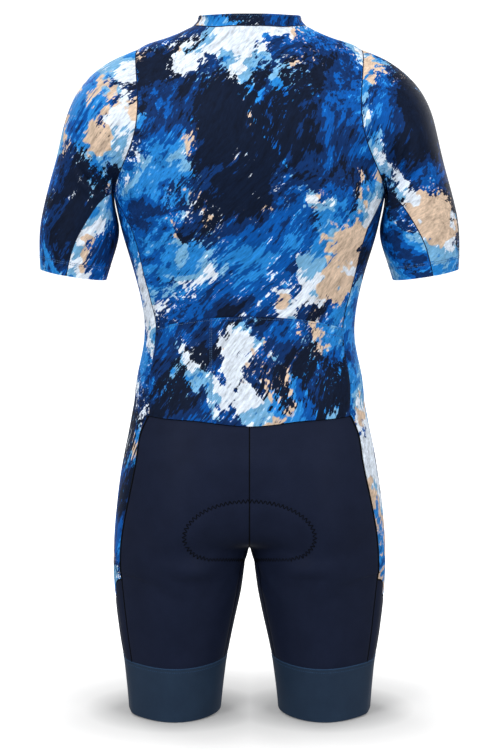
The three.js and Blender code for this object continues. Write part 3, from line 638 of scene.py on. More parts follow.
SHORTS_PANELS = ("seat_left", "seat_right", "thigh_front_left", "thigh_front_right")
shorts_points = np.zeros(len(skin.points), bool)
for name in SHORTS_PANELS:
    shorts_points[skin.faces[skin.panel == PANELS.index(name)]] = True
field = pad_field(skin.points)
relief = PAD_LIFT * np.clip(-field / PAD_SLOPE, 0, 1) ** 0.7
relief -= PAD_GROOVE * np.exp(-((field / PAD_GROOVE_WIDTH) ** 2))
lift += np.where(shorts_points & (field < 5 * PAD_GROOVE_WIDTH), relief, 0)

x, y, z = skin.points.T
beside_zip = np.exp(-(((np.abs(x) - ZIP_HALF_GAP * MM) / RIPPLE_WIDTH) ** 2))
beside_zip *= (y < 0) & (z > RIPPLE_FIRST_Z) & (z < RIPPLE_LAST_Z)
lift += RIPPLE_DEPTH * beside_zip * np.sin(z * 2 * math.pi / RIPPLE_LENGTH + 1.1 * np.sin(z * 40))
skin.points += normals * lift[:, None]
normals = skin.normals()

# %% [markdown]
# Materials. A material is a small board of nodes. The class below wraps a socket of numbers, so that a mask is
# written as plain arithmetic, and one method makes every other node.

# %% A board for materials


class Number:
    """A socket that carries numbers, with arithmetic."""

    def __init__(self, board, socket):
        self.board, self.socket = board, socket

    def math(self, operation, *values, clamp=False):
        made = self.board.node("ShaderNodeMath", {"operation": operation, "use_clamp": clamp}, *values)
        return Number(self.board, made.outputs[0])

    def __add__(self, other):
        return self.math("ADD", self, other)

    def __sub__(self, other):
        return self.math("SUBTRACT", self, other)

    def __mul__(self, other):
        return self.math("MULTIPLY", self, other)

    def __truediv__(self, other):
        return self.math("DIVIDE", self, other)

    def __rsub__(self, other):
        return self.math("SUBTRACT", other, self)

    __radd__, __rmul__ = __add__, __mul__

    def above(self, edge, softness):
        """0 below the edge and 1 above it, with a soft step between."""
        return self.math("MULTIPLY_ADD", self, 1 / softness, 0.5 - edge / softness, clamp=True)

    def sine(self):
        return self.math("SINE", self)


class Board:
    def __init__(self, name, **finish):
        self.material = bpy.data.materials.new(name)
        self.material.use_nodes = True
        self.tree = self.material.node_tree
        self.shader = self.tree.nodes["Principled BSDF"]
        for socket, value in finish.items():
            self.shader.inputs[socket.replace("_", " ")].default_value = value

    def put(self, socket, value):
        if isinstance(value, Number):
            value = value.socket
        if isinstance(value, bpy.types.NodeSocket):
            self.tree.links.new(value, socket)
        elif value is not None:
            socket.default_value = value

    def node(self, kind, settings, *values, **named_values):
        made = self.tree.nodes.new(kind)
        for key, value in settings.items():
            setattr(made, key, value)
        for k, value in enumerate(values):
            self.put(made.inputs[k], value)
        for key, value in named_values.items():
            self.put(made.inputs[key.replace("_", " ")], value)
        return made

    def set(self, **sockets):
        for key, value in sockets.items():
            self.put(self.shader.inputs[key.replace("_", " ")], value)

    def place(self, shift=None):
        """Object coordinates, in metres, moved by a vector attribute of the piece if one is named."""
        place = self.node("ShaderNodeTexCoord", {}).outputs["Object"]
        if shift is None:
            return place
        moved = self.node("ShaderNodeAttribute", {"attribute_name": shift}).outputs["Vector"]
        return self.node("ShaderNodeVectorMath", {"operation": "ADD"}, place, moved).outputs[0]

    def noise(self, place, scale, detail=2.0, roughness=0.5):
        settings = {"Scale": scale, "Detail": detail, "Roughness": roughness}
        return self.node("ShaderNodeTexNoise", {}, Vector=place, **settings)

    def stretched(self, place, turn, scale):
        """The place turned by Euler angles in degrees and then scaled along each axis."""
        angles = [math.radians(a) for a in turn]
        turned = self.node("ShaderNodeMapping", {}, Vector=place, Rotation=angles).outputs[0]
        return self.node("ShaderNodeMapping", {}, Vector=turned, Scale=scale).outputs[0]

    def split(self, vector):
        parts = self.node("ShaderNodeSeparateXYZ", {}, vector)
        return [Number(self, parts.outputs[k]) for k in range(3)]

    def mix(self, share, first, second, blend="MIX"):
        made = self.node("ShaderNodeMix", {"data_type": "RGBA", "blend_type": blend})
        for k, value in ((0, share), (6, first), (7, second)):
            self.put(made.inputs[k], value)
        return made.outputs[2]

    def ramp(self, value, stops, interpolation="LINEAR"):
        made = self.node("ShaderNodeValToRGB", {}, value)
        made.color_ramp.interpolation = interpolation
        bands = made.color_ramp.elements
        while len(bands) < len(stops):
            bands.new(0.5)
        for band, (position, colour) in zip(bands, stops):
            band.position, band.color = position, colour
        return made.outputs[0]

    def bump(self, height, depth, strength=1.0):
        """Relief of a height from 0 to 1, by its depth in metres."""
        made = self.node("ShaderNodeBump", {}, Height=height, Distance=depth, Strength=strength)
        self.set(Normal=made.outputs[0])


def paint(red, green, blue):
    """A colour from its 0 to 255 values on a screen, as light."""
    shares = [c / 255 for c in (red, green, blue)]
    return (*(c / 12.92 if c <= 0.04 else ((c + 0.055) / 1.055) ** 2.4 for c in shares), 1.0)


# %% [markdown]
# The jersey's knit carries an all-over print. Its colours and the size of its patches follow the photo: deep
# navy, two strong blues, sky, white and a little sand. The motif is a plain one of our own: brushed swathes
# that wander like marbled paper, in two layers, a dark ground and lighter paint over it. Noise gives the
# swathes, a second noise stretched along them frays their edges, and ramps turn the sums into flat inks.

# %% Printed knit
NAVY_INK, DEEP_BLUE, STRONG_BLUE = paint(10, 23, 46), paint(10, 46, 98), paint(4, 80, 160)
BRIGHT_BLUE, SKY, PALE = paint(34, 126, 202), paint(112, 168, 208), paint(212, 222, 234)
SAND = paint(206, 182, 160)
KNIT_PITCH = 1.25 * MM
STROKE_TURN = (0, 40, 0)  # degrees; the brush runs up to one side
GROUND_INKS = [(0.455, DEEP_BLUE), (0.515, STRONG_BLUE), (0.575, BRIGHT_BLUE)]
OVER_INKS = [(0.37, STRONG_BLUE), (0.42, BRIGHT_BLUE), (0.475, SKY), (0.53, PALE)]
INK_EDGE = 0.005
SWAY = 0.11  # metres by which the swathes wander


def knit_height(board, pitch):
    """Small dimples of a knit, from the piece's own map of the cloth, in metres."""
    u, v, _ = board.split(board.node("ShaderNodeUVMap", {"uv_map": "cloth"}).outputs[0])
    turn = 2 * math.pi / pitch
    return (u * turn).sine() * (v * turn).sine() * 0.5 + 0.5


def flat_inks(first, inks):
    """The ramp's stops: flat colours with a narrow step between each two."""
    stops, before = [(0.0, first)], first
    for edge, ink in inks:
        stops += [(edge - INK_EDGE, before), (edge + INK_EDGE, ink)]
        before = ink
    return stops


def printed_knit():
    board = Board("printed_knit", Roughness=0.6, Specular_IOR_Level=0.08)
    place = board.place("print_shift")
    sway = board.noise(place, 4.2, 1.5).outputs["Color"]
    swayed = board.node("ShaderNodeVectorMath", {"operation": "MULTIPLY_ADD"}, sway, (SWAY,) * 3, place)
    push = swayed.outputs[0]

    def strokes(scale, detail, roughness):
        made = board.noise(board.stretched(push, STROKE_TURN, scale), 1.0, detail, roughness)
        return Number(board, made.outputs["Fac"])

    brush = strokes((130, 130, 14), 3.0, 0.6)
    fray = strokes((420, 420, 90), 3.0, 0.6)
    frayed = (brush - 0.5) * 0.24 + (fray - 0.5) * 0.12
    ground = strokes((8.5, 8.5, 5.2), 5.0, 0.58) + frayed
    inks = board.ramp(ground, flat_inks(NAVY_INK, GROUND_INKS))
    turned = board.stretched(push, (0, -25, 0), (9.0, 9.0, 5.6))
    cover = Number(board, board.noise(turned, 1.0, 6.0, 0.6).outputs["Fac"]) + frayed * 0.7
    tint = Number(board, board.noise(push, 7.5, 4.0, 0.62).outputs["Fac"]) + frayed * 0.7
    over = board.ramp(tint, flat_inks(DEEP_BLUE, OVER_INKS))
    warm = Number(board, board.noise(place, 10.0, 4.0, 0.62).outputs["Fac"])
    over = board.mix(warm.above(0.56, 0.015) * tint.above(0.46, 0.015), over, SAND)
    inks = board.mix(cover.above(0.515, 0.008), inks, over)
    edge_flecks = cover.above(0.485, 0.02) * fray.above(0.62, 0.02)
    inks = board.mix(edge_flecks * 0.85, inks, over)
    tone = (brush - 0.5) * 1.3 + (fray - 0.5) * 1.3 + 1.0
    shaded = board.node("ShaderNodeCombineXYZ", {}, tone, tone, tone).outputs[0]
    inks = board.mix(1.0, inks, shaded, "MULTIPLY")
    board.set(Base_Color=inks)
    board.bump(knit_height(board, KNIT_PITCH), 0.12 * MM, 0.5)
    return board.material


def knit_reverse():
    """The unprinted inner side of the jersey, nearly white."""
    board = Board("knit_reverse", Roughness=0.8, Specular_IOR_Level=0.2)
    cloudy = Number(board, board.noise(board.place(), 60.0, 3.0).outputs["Fac"])
    board.set(Base_Color=board.mix(cloudy, paint(196, 204, 216), paint(222, 227, 234)))
    board.bump(knit_height(board, KNIT_PITCH), 0.12 * MM, 0.5)
    return board.material


# %% [markdown]
# The shorts are a dense, smooth warp knit with a slight satin shine, and the leg bands are a firmer gripper
# knit in slate blue. Both are plain colours, so their life is in the fine ribs of the knit, a faint unevenness
# of the dye and a soft sheen at grazing angles.

# %% Plain knits
SEAM_RIB = 1.4 * MM
SHORTS_COLOUR, SHORTS_LIGHT = paint(21, 27, 45), paint(28, 35, 56)
BAND_COLOUR, BAND_LIGHT = paint(26, 42, 62), paint(35, 54, 76)


def plain_knit(name, dark, light, pitch, depth, **finish):
    board = Board(name, **finish)
    cloudy = Number(board, board.noise(board.place(), 30.0, 4.0, 0.6).outputs["Fac"])
    fine = Number(board, board.noise(board.place(), 900.0, 2.0).outputs["Fac"])
    share = (cloudy * 0.6 + fine * 0.4).above(0.5, 0.5)
    board.set(Base_Color=board.mix(share, dark, light))
    u, v, _ = board.split(board.node("ShaderNodeUVMap", {"uv_map": "cloth"}).outputs[0])
    ribs = (u * (2 * math.pi / pitch)).sine() * 0.35 + (v * (2 * math.pi / pitch * 0.6)).sine() * 0.15 + 0.5
    board.bump(ribs, depth, 0.6)
    return board.material


def thread(name, dark, light):
    """A twisted thread: short light flecks along a dark line."""
    board = Board(name, Roughness=0.7, Specular_IOR_Level=0.08)
    fleck = Number(board, board.noise(board.place(), 1400.0, 2.0).outputs["Fac"])
    board.set(Base_Color=board.mix(fleck.above(0.55, 0.2), dark, light))
    board.bump(fleck, 0.1 * MM, 0.5)
    return board.material


def cover_stitch(name, dark, light):
    """A dense cover stitch: slanted ribs of thread across the seam, from the strip's own map."""
    board = Board(name, Roughness=0.65, Specular_IOR_Level=0.06)
    u, v, _ = board.split(board.node("ShaderNodeUVMap", {"uv_map": "cloth"}).outputs[0])
    ribs = (u * (2 * math.pi / SEAM_RIB) + v * (2 * math.pi / SEAM_RIB * 0.7)).sine() * 0.5 + 0.5
    board.set(Base_Color=board.mix(ribs, dark, light))
    board.bump(ribs, 0.25 * MM, 0.8)
    return board.material


def moulded(name, dark, light, **finish):
    """Plastic or lacquered metal with a faint unevenness from its mould."""
    board = Board(name, **finish)
    fine = Number(board, board.noise(board.place(), 1200.0, 3.0).outputs["Fac"])
    board.set(Base_Color=board.mix(fine, dark, light), Roughness=fine * 0.12 + finish["Roughness"] - 0.06)
    board.bump(fine, 0.03 * MM, 0.4)
    return board.material


finishes = {
    "print": printed_knit(),
    "reverse": knit_reverse(),
    "shorts": plain_knit(
        "shorts_knit", SHORTS_COLOUR, SHORTS_LIGHT, 0.9 * MM, 0.05 * MM, Roughness=0.55, Specular_IOR_Level=0.045
    ),
    "band": plain_knit(
        "band_knit", BAND_COLOUR, BAND_LIGHT, 1.4 * MM, 0.1 * MM, Roughness=0.6, Specular_IOR_Level=0.15
    ),
    "black thread": thread("black_thread", paint(2, 3, 6), paint(9, 11, 17)),
    "navy thread": thread("navy_thread", paint(44, 68, 106), paint(112, 150, 192)),
    "slate thread": thread("slate_thread", paint(38, 66, 98), paint(60, 92, 128)),
    "cover stitch": cover_stitch("cover_stitch", paint(2, 3, 6), paint(8, 10, 16)),
    "jersey seam": cover_stitch("jersey_seam", paint(11, 19, 38), paint(26, 42, 74)),
    "band seam": cover_stitch("band_seam", paint(22, 34, 52), paint(58, 88, 122)),
    "zip tape": plain_knit(
        "zip_tape", paint(9, 12, 20), paint(20, 24, 34), 0.9 * MM, 0.15 * MM, Roughness=0.75, Specular_IOR_Level=0.2
    ),
    "zip teeth": moulded("zip_teeth", paint(9, 10, 14), paint(18, 20, 27), Roughness=0.4, Specular_IOR_Level=0.4),
    "zip metal": moulded("zip_metal", paint(52, 55, 62), paint(74, 78, 86), Roughness=0.32, Metallic=1.0),
    "pad foam": plain_knit(
        "pad_foam", paint(30, 34, 42), paint(52, 58, 70), 2.4 * MM, 0.2 * MM, Roughness=0.85, Specular_IOR_Level=0.2
    ),
}

# %% [markdown]
# Each panel is cut from the skin along its seams and gets the knit's thickness on its inner side. Neighbours
# keep the same edge points, so no light shows through a seam. The map called cloth runs along the panel's rows
# and columns in metres, for the knit. The attribute print_shift moves the print by a different amount on each
# panel, as it is when panels are cut from a printed roll.

# %% Cut the panels
CLOTH = 1.1 * MM
PRINTED = {"back_panel": (0, 0, 0), "collar": (0.31, 0.2, 0.6), "back_pocket": (0.9, 0.4, -0.3)}
for k, kind in enumerate(("front", "side_panel", "sleeve", "underarm")):
    for sign, hand in ((1, "left"), (-1, "right")):
        PRINTED[f"{kind}_{hand}"] = (0.4 * k + 0.7 * sign, 0.3 * k, 0.5 - 0.37 * k * sign)


def new_piece(name, points, faces, finish, replaces=()):
    mesh = bpy.data.meshes.new(name)
    mesh.from_pydata([tuple(p) for p in points], [], [tuple(int(i) for i in f) for f in faces])
    mesh.materials.append(finish)
    thing = make_object(name, mesh)
    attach(thing, "suit")
    if replaces:
        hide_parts(*replaces)
    return thing


def map_cloth(mesh, places, sizes):
    layer = mesh.uv_layers.new(name="cloth")
    layer.data.foreach_set("uv", (places.reshape(-1, 2) * sizes).ravel())


def thicken(thing, thickness, inner_finish=None):
    """Gives a sheet its thickness on the inner side, and that side a finish of its own if one is given."""
    wall = thing.modifiers.new("wall", "SOLIDIFY")
    wall.thickness, wall.offset, wall.use_quality_normals = thickness, -1.0, True
    if inner_finish:
        thing.data.materials.append(inner_finish)
        wall.material_offset = 1
    apply_all(thing)


def smooth(thing, degrees=50):
    only(thing)
    bpy.ops.object.shade_smooth_by_angle(angle=math.radians(degrees))


def shift_print(thing, name):
    marks = thing.data.attributes.new("print_shift", "FLOAT_VECTOR", "POINT")
    marks.data.foreach_set("vector", np.tile(PRINTED[name], len(thing.data.vertices)).astype(np.float32))


def spacing(faces, places, points):
    """The mean size in metres of one column and one row of a panel."""
    a, b, d = (points[faces[:, k]] for k in (0, 1, 3))
    step = np.abs(places[:, 1] - places[:, 0]), np.abs(places[:, 3] - places[:, 0])
    sizes = []
    for axis in (0, 1):
        along = [np.linalg.norm(end - a, axis=1)[s[:, axis] > 1e-4] for end, s in zip((b, d), step)]
        spans = [s[:, axis][s[:, axis] > 1e-4] for s in step]
        sizes.append(sum(x.sum() for x in along) / sum(x.sum() for x in spans))
    return np.array(sizes)


def cut_panel(name):
    own = skin.panel == PANELS.index(name)
    faces, places = skin.faces[own], skin.place[own]
    used, local = np.unique(faces, return_inverse=True)
    slot = "printed_knit" if name in PRINTED else "band_knit" if name.startswith("leg_band") else "navy_knit"
    finish = finishes[{"printed_knit": "print", "band_knit": "band", "navy_knit": "shorts"}[slot]]
    panel = new_piece(f"{name}_cloth", skin.points[used], local.reshape(-1, 4), finish, replaces=[name])
    map_cloth(panel.data, places, spacing(faces, places, skin.points))
    thicken(panel, CLOTH, finishes["reverse"] if name in PRINTED and name != "collar" else None)
    if name in PRINTED:
        shift_print(panel, name)
    smooth(panel)
    return panel


panels = {name: cut_panel(name) for name in PANELS}
areas = {name: round(sum(f.area for f in panel.data.polygons) / 2, 4) for name, panel in panels.items()}
print("panel areas in square metres", areas)

# %% [markdown]
# The back pocket is a second layer on the lower back, from the waist seam to a curved mouth. It is cut from the
# panel's own points, moved out, so that it lies on the back as the real one does. It stands off most at the
# mouth, where hands pull it, and a stitched line divides it.

# %% Back pocket
POCKET_LIFT, POCKET_EDGE_LIFT, MOUTH_LIFT, POCKET_EASE = 2.2 * MM, 1.5 * MM, 1.3 * MM, 12 * MM
POCKET_ROWS = (WAIST_RING - POCKET_RING) * STEPS
DIVIDER_X = 52 * MM


def unit(vectors):
    return vectors / np.linalg.norm(vectors, axis=-1, keepdims=True)


def pocket_lift(points, rows):
    """How far the pocket stands off the back."""
    side_seams = seam_lines("back_panel", "side_panel")
    seam_tree = tree_of(np.concatenate([skin.points[line] for line in side_seams]))
    inside = np.array([seam_tree.find(p)[2] for p in points])
    ease = 1 - np.exp(-inside / POCKET_EASE)
    mouth = np.clip((rows - POCKET_ROWS + 0.6 * STEPS) / (0.6 * STEPS), 0, 1) ** 2
    divider = np.exp(-(((points[:, 0] - DIVIDER_X) / (5 * MM)) ** 2))
    lifted = POCKET_EDGE_LIFT + (POCKET_LIFT - POCKET_EDGE_LIFT) * ease
    return lifted + MOUTH_LIFT * mouth * ease * (1 - divider) - 0.5 * MM * divider


pocket_quads = skin.panel == PANELS.index("back_panel")
pocket_quads &= skin.place[..., 1].max(axis=1) * STEPS <= POCKET_ROWS + 0.1
pocket_faces, pocket_places = skin.faces[pocket_quads], skin.place[pocket_quads]
pocket_used, first_corner, pocket_local = np.unique(pocket_faces, return_index=True, return_inverse=True)
pocket_row = pocket_places.reshape(-1, 2)[first_corner, 1] * STEPS
lifts = pocket_lift(skin.points[pocket_used], pocket_row)
pocket_skin = skin.points.copy()
pocket_skin[pocket_used] += normals[pocket_used] * lifts[:, None]
pocket = new_piece(
    "back_pocket_cloth",
    pocket_skin[pocket_used],
    pocket_local.reshape(-1, 4),
    finishes["print"],
    replaces=["back_pocket"],
)
map_cloth(pocket.data, pocket_places, spacing(pocket_faces, pocket_places, skin.points))
thicken(pocket, CLOTH)
shift_print(pocket, "back_pocket")
smooth(pocket)
print("pocket", len(pocket.data.polygons), "faces, lifted up to", round(float(lifts.max()) * 1000, 1), "mm")

# %% [markdown]
# Stitching. One stitch is a short rounded thread with a few dozen faces. A stitched line is many copies of it,
# each laid along the line and pressed half into the cloth. Where the line lies is worked out from the hem or the
# seam that it follows: so many millimetres inside it, measured along the cloth.

# %% Lines on the cloth
STITCH_SIDES, STITCH_THICKNESS, STITCH_LIFT = 6, 0.65 * MM, 0.12 * MM
STITCH_PROFILE = [(-0.38, 0.7), (-0.12, 1.0), (0.12, 1.0), (0.38, 0.7)]  # place along it, share of its width


def resample(points, facings, pitch):
    """Evenly spaced places along a line: points, ways out of the cloth and ways along."""
    along = np.concatenate([[0], np.cumsum(np.linalg.norm(np.diff(points, axis=0), axis=1))])
    count = max(2, round(along[-1] / pitch))
    at = (np.arange(count) + 0.5) / count * along[-1]

    def placed(values, distances):
        return np.array([np.interp(distances, along, column) for column in values.T]).T

    ahead, behind = np.minimum(at + pitch / 2, along[-1]), np.maximum(at - pitch / 2, 0)
    return placed(points, at), unit(placed(facings, at)), unit(placed(points, ahead) - placed(points, behind))


def stitch_mesh(points, outs, alongs, length, thickness, width=None):
    """Copies of one stitch, half sunk in the cloth."""
    turns = np.arange(STITCH_SIDES) * 2 * math.pi / STITCH_SIDES
    ring = [(s, share * math.cos(a), share * math.sin(a)) for s, share in STITCH_PROFILE for a in turns]
    shape = np.array([(-0.5, 0, 0), *ring, (0.5, 0, 0)]) * (length, (width or thickness) / 2, thickness / 2)
    faces = []
    last = len(shape) - 1
    for k in range(STITCH_SIDES):
        after = (k + 1) % STITCH_SIDES
        faces.append((0, 1 + after, 1 + k))
        for r in range(len(STITCH_PROFILE) - 1):
            low, high = 1 + r * STITCH_SIDES, 1 + (r + 1) * STITCH_SIDES
            faces.append((low + k, low + after, high + after, high + k))
        faces.append((last, last - STITCH_SIDES + k, last - STITCH_SIDES + after))
    acrosses = np.cross(outs, alongs)
    frames = np.stack([alongs, unit(acrosses), outs], axis=1)
    placed = points[:, None, :] + np.einsum("vi,nij->nvj", shape, frames)
    shifted = [tuple(i + n * len(shape) for i in face) for n in range(len(points)) for face in faces]
    return placed.reshape(-1, 3), shifted


def sew(name, lines, finish, pitch=2.6 * MM, length=2.1 * MM):
    """Rows of stitches along lines, joined as one piece."""
    all_points, all_faces = [], []
    for points, facings in lines:
        at, outs, alongs = resample(points, facings, pitch)
        made, faces = stitch_mesh(at + outs * STITCH_LIFT, outs, alongs, length, STITCH_THICKNESS)
        start = sum(len(p) for p in all_points)
        all_points.append(made)
        all_faces += [tuple(i + start for i in face) for face in faces]
    piece = new_piece(name, np.vstack(all_points), all_faces, finishes[finish])
    smooth(piece, 80)
    return piece


def inset_line(columns, distance, points=None, facings=None):
    """A line at a distance inside a hem or seam, with one point on each column that starts there."""
    points, facings = skin.points if points is None else points, normals if facings is None else facings
    made = []
    for column in columns:
        place = points[column]
        along = np.concatenate([[0], np.cumsum(np.linalg.norm(np.diff(place, axis=0), axis=1))])
        both = np.hstack([place, facings[column]])
        made.append([np.interp(distance, along, values) for values in both.T])
    made = np.array(made)
    return made[:, :3], unit(made[:, 3:])


def across_both_sides(name, from_top):
    """The columns of a panel that crosses the centre, from the wearer's right to the left."""
    right, left = (panel_grid(name, side)[:: -1 if from_top else 1] for side in (-1, 1))
    return [*right.T[::-1], *left.T[1:]]


# %% Stitched hems
SLEEVE_HEM, BAND_STITCH, COLLAR_STITCH = 19 * MM, 4.5 * MM, 2.6 * MM
MOUTH_STITCH, CORNER_STITCH, CORNER_X = 2.5 * MM, 12.5 * MM, (-138 * MM, -100 * MM)

for side, hand in ((1, "left"), (-1, "right")):
    over, under = (panel_grid(f"{kind}_{hand}", side)[::-1].T for kind in ("sleeve", "underarm"))
    ring = inset_line([*over, *under[1:]], SLEEVE_HEM)
    twin = inset_line([*over, *under[1:]], SLEEVE_HEM - 2.5 * MM)
    sew(f"sleeve_hem_stitches_{hand}", [ring, twin], "navy thread")
    band_line = inset_line(panel_grid(f"leg_band_{hand}", side)[::-1].T, BAND_STITCH)
    sew(f"band_stitches_{hand}", [band_line], "slate thread", pitch=3.2 * MM, length=2.2 * MM)

collar_columns = across_both_sides("collar", from_top=True)
sew("collar_stitches", [inset_line(collar_columns, COLLAR_STITCH)], "navy thread")
mouth_columns = [column[column >= 0] for column in across_both_sides("back_panel", from_top=True)]
mouth_columns = [column[-POCKET_ROWS - 1 :] for column in mouth_columns]
corner_columns = [c for c in mouth_columns if CORNER_X[0] < pocket_skin[c[0]][0] < CORNER_X[1]]
mouth_lines = [inset_line(mouth_columns, MOUTH_STITCH, pocket_skin)]
mouth_lines.append(inset_line(corner_columns, CORNER_STITCH, pocket_skin))
sew("pocket_mouth_stitches", mouth_lines, "navy thread")


def upright_line(grid, x, points):
    """A line down a panel at a distance from the centre."""
    made = []
    for row in grid:
        at = points[row][:, 0]
        order = np.argsort(at)
        both = np.hstack([points[row], normals[row]])[order]
        made.append([np.interp(x, at[order], values) for values in both.T])
    made = np.array(made)
    return made[:, :3], unit(made[:, 3:])


pocket_grid = panel_grid("back_panel", 1)[: POCKET_ROWS + 1]
divider = [upright_line(pocket_grid, DIVIDER_X + d, pocket_skin) for d in (-1.1 * MM, 1.1 * MM)]
sew("pocket_divider_stitches", divider, "navy thread")

# %% [markdown]
# Seams. The shorts' side seams are flat seams covered by a thick black cover stitch, so they stand out as dark
# raised lines. The jersey's seams are finer. Both are made as low rounded strips along the seam lines, with a
# map that runs along and across the seam for the thread's slanted ribs.

# %% Flat seams
STRIP_PROFILE = [(-0.5, -0.35), (-0.42, 0.45), (-0.2, 0.92), (0.0, 1.0), (0.2, 0.92), (0.42, 0.45), (0.5, -0.35)]
SEAM_PITCH = 1.6 * MM


def seam_strip(name, lines, width, height, finish):
    """Low rounded strips along lines of the skin's points."""
    points, faces, places = [], [], []
    columns = len(STRIP_PROFILE)
    for line in lines:
        closed = line[0] == line[-1]
        at, outs, alongs = resample(skin.points[line], normals[line], SEAM_PITCH)
        if not closed:
            first, last = skin.points[line[0]], skin.points[line[-1]]
            at, outs = np.vstack([first, at, last]), np.vstack([normals[line[0]], outs, normals[line[-1]]])
            alongs = np.vstack([alongs[0], alongs, alongs[-1]])
        acrosses = unit(np.cross(outs, alongs))
        start = len(points)
        for k, (p, out, across) in enumerate(zip(at, outs, acrosses)):
            points += [p + across * width * s + out * height * h for s, h in STRIP_PROFILE]
            places += [(k * SEAM_PITCH, width * s) for s, _ in STRIP_PROFILE]
        rows = len(at)
        for k in range(rows if closed else rows - 1):
            here, there = start + k * columns, start + (k + 1) % rows * columns
            faces += [(here + c, there + c, there + c + 1, here + c + 1) for c in range(columns - 1)]
            faces.append((here + columns - 1, there + columns - 1, there, here))
        if not closed:
            faces.append(tuple(start + c for c in range(columns)))
            faces.append(tuple(start + (rows - 1) * columns + c for c in range(columns))[::-1])
    piece = new_piece(name, points, faces, finishes[finish])
    layer = piece.data.uv_layers.new(name="cloth")
    layer.data.foreach_set("uv", [c for face in faces for i in face for c in places[i]])
    only(piece)
    bpy.ops.object.mode_set(mode="EDIT")
    bpy.ops.mesh.select_all(action="SELECT")
    bpy.ops.mesh.normals_make_consistent(inside=False)
    bpy.ops.object.mode_set(mode="OBJECT")
    smooth(piece, 60)
    return piece


SEAM_COLUMNS = "name one_side other_side width height finish"  # widths and heights in millimetres
SEAMS = [
    ("side_seams_shorts", "seat thigh_front", "side_panel", 3.6, 1.0, "cover stitch"),
    ("side_seams_leg", "seat thigh_front", "leg_side", 2.4, 0.7, "cover stitch"),
    ("slant_seams", "side_panel", "leg_side", 2.4, 0.7, "cover stitch"),
    ("waist_seam_back", "back_panel", "seat", 2.0, 0.6, "cover stitch"),
    ("waist_seam_front", "front", "thigh_front", 2.0, 0.6, "cover stitch"),
    ("centre_seam_back", "seat_left", "seat_right", 2.0, 0.5, "cover stitch"),
    ("centre_seam_front", "thigh_front_left", "thigh_front_right", 2.0, 0.5, "cover stitch"),
    ("inseams", "seat", "thigh_front", 1.8, 0.5, "cover stitch"),
    ("band_seams", "leg_band", "seat thigh_front leg_side", 2.2, 0.8, "band seam"),
    ("jersey_side_seams", "back_panel front", "side_panel", 1.5, 0.45, "jersey seam"),
    ("armhole_seams", "back_panel front side_panel", "sleeve underarm", 1.6, 0.5, "jersey seam"),
    ("underarm_seams", "sleeve", "underarm", 1.4, 0.45, "jersey seam"),
    ("shoulder_seams", "back_panel", "front", 1.5, 0.45, "jersey seam"),
    ("neck_seam", "collar", "back_panel front", 1.5, 0.45, "jersey seam"),
]
for seam in named(SEAM_COLUMNS, SEAMS):
    pairs = [(a, b) for a in seam["one_side"].split() for b in seam["other_side"].split()]
    edges = [edge for pair in pairs for line in seam_lines(*pair) for edge in zip(line, line[1:])]
    seam_strip(seam["name"], chains(edges), seam["width"] * MM, seam["height"] * MM, seam["finish"])

# %% [markdown]
# The pad is sewn in with a zigzag that shows on the outside. Its line is where the pad's field is zero: it is
# found on each quad that the line crosses, joined up, and then bent into a zigzag of black thread.

# %% Zigzag round the pad
ZIGZAG_PITCH, ZIGZAG_WIDTH, ZIGZAG_THREAD = 3.0 * MM, 6.4 * MM, 1.2 * MM
ZIGZAG_HEIGHT, ZIGZAG_LIFT = 1.0 * MM, 0.25 * MM


def zero_lines(values, own_faces):
    """Lines where a value at each point of the skin is zero, as points and ways out of the cloth."""
    crossings, segments = {}, []
    for face in own_faces:
        met = []
        for a, b in zip(face, np.roll(face, -1)):
            if (values[a] < 0) != (values[b] < 0):
                key = (min(a, b), max(a, b))
                t = values[a] / (values[a] - values[b])
                way_out = normals[a] + (normals[b] - normals[a]) * t
                crossings[key] = (skin.points[a] + (skin.points[b] - skin.points[a]) * t, way_out)
                met.append(key)
        if len(met) == 2:
            segments.append(met)
    keys = sorted(crossings)
    number = {key: i for i, key in enumerate(keys)}
    lines = chains([(number[a], number[b]) for a, b in segments])
    return [[np.array([crossings[keys[i]][part] for i in line]) for part in (0, 1)] for line in lines]


shorts_quads = np.isin(skin.panel, [PANELS.index(name) for name in SHORTS_PANELS])
field = pad_field(skin.points)
pad_lines = [line for line in zero_lines(field, skin.faces[shorts_quads]) if len(line[0]) > 20]
zigzag_points, zigzag_faces, placed = [], [], 0
for points, facings in pad_lines:
    at, outs, alongs = resample(points, facings, ZIGZAG_PITCH)
    sign = np.where(np.arange(len(at)) % 2, 1, -1)[:, None]
    corners = at + unit(np.cross(outs, alongs)) * sign * ZIGZAG_WIDTH / 2
    spans = corners[1:] - corners[:-1]
    ways, length = unit(spans), float(np.linalg.norm(spans, axis=1).mean())
    outs = unit(outs[1:] + outs[:-1])
    outs = unit(outs - ways * (outs * ways).sum(axis=1, keepdims=True))
    middles = (corners[1:] + corners[:-1]) / 2 + outs * ZIGZAG_LIFT
    made, faces = stitch_mesh(middles, outs, ways, length, ZIGZAG_HEIGHT, ZIGZAG_THREAD)
    zigzag_faces += [tuple(i + placed for i in face) for face in faces]
    zigzag_points.append(made)
    placed += len(made)
zigzag_finish = finishes["black thread"]
zigzag = new_piece("pad_zigzag", np.vstack(zigzag_points), zigzag_faces, zigzag_finish)
smooth(zigzag, 80)
print("zigzag", len(pad_lines), "lines,", len(zigzag_faces), "faces")

# %% [markdown]
# The pad itself lies inside the shorts. It shows from below and through the legs: a foam sheet with thin edges,
# thick in the middle, and with pressed channels where it has to bend. Its outline is the same field's zero
# line, so the points beside that line are slid onto it.

# %% Seat pad
PAD_GAP, PAD_EDGE, PAD_DEPTH, PAD_EASE = 0.65 * MM, 1.2 * MM, 5.6 * MM, 16 * MM
CHANNEL_DEPTH, CHANNEL_WIDTH = 2.2 * MM, 4.5 * MM

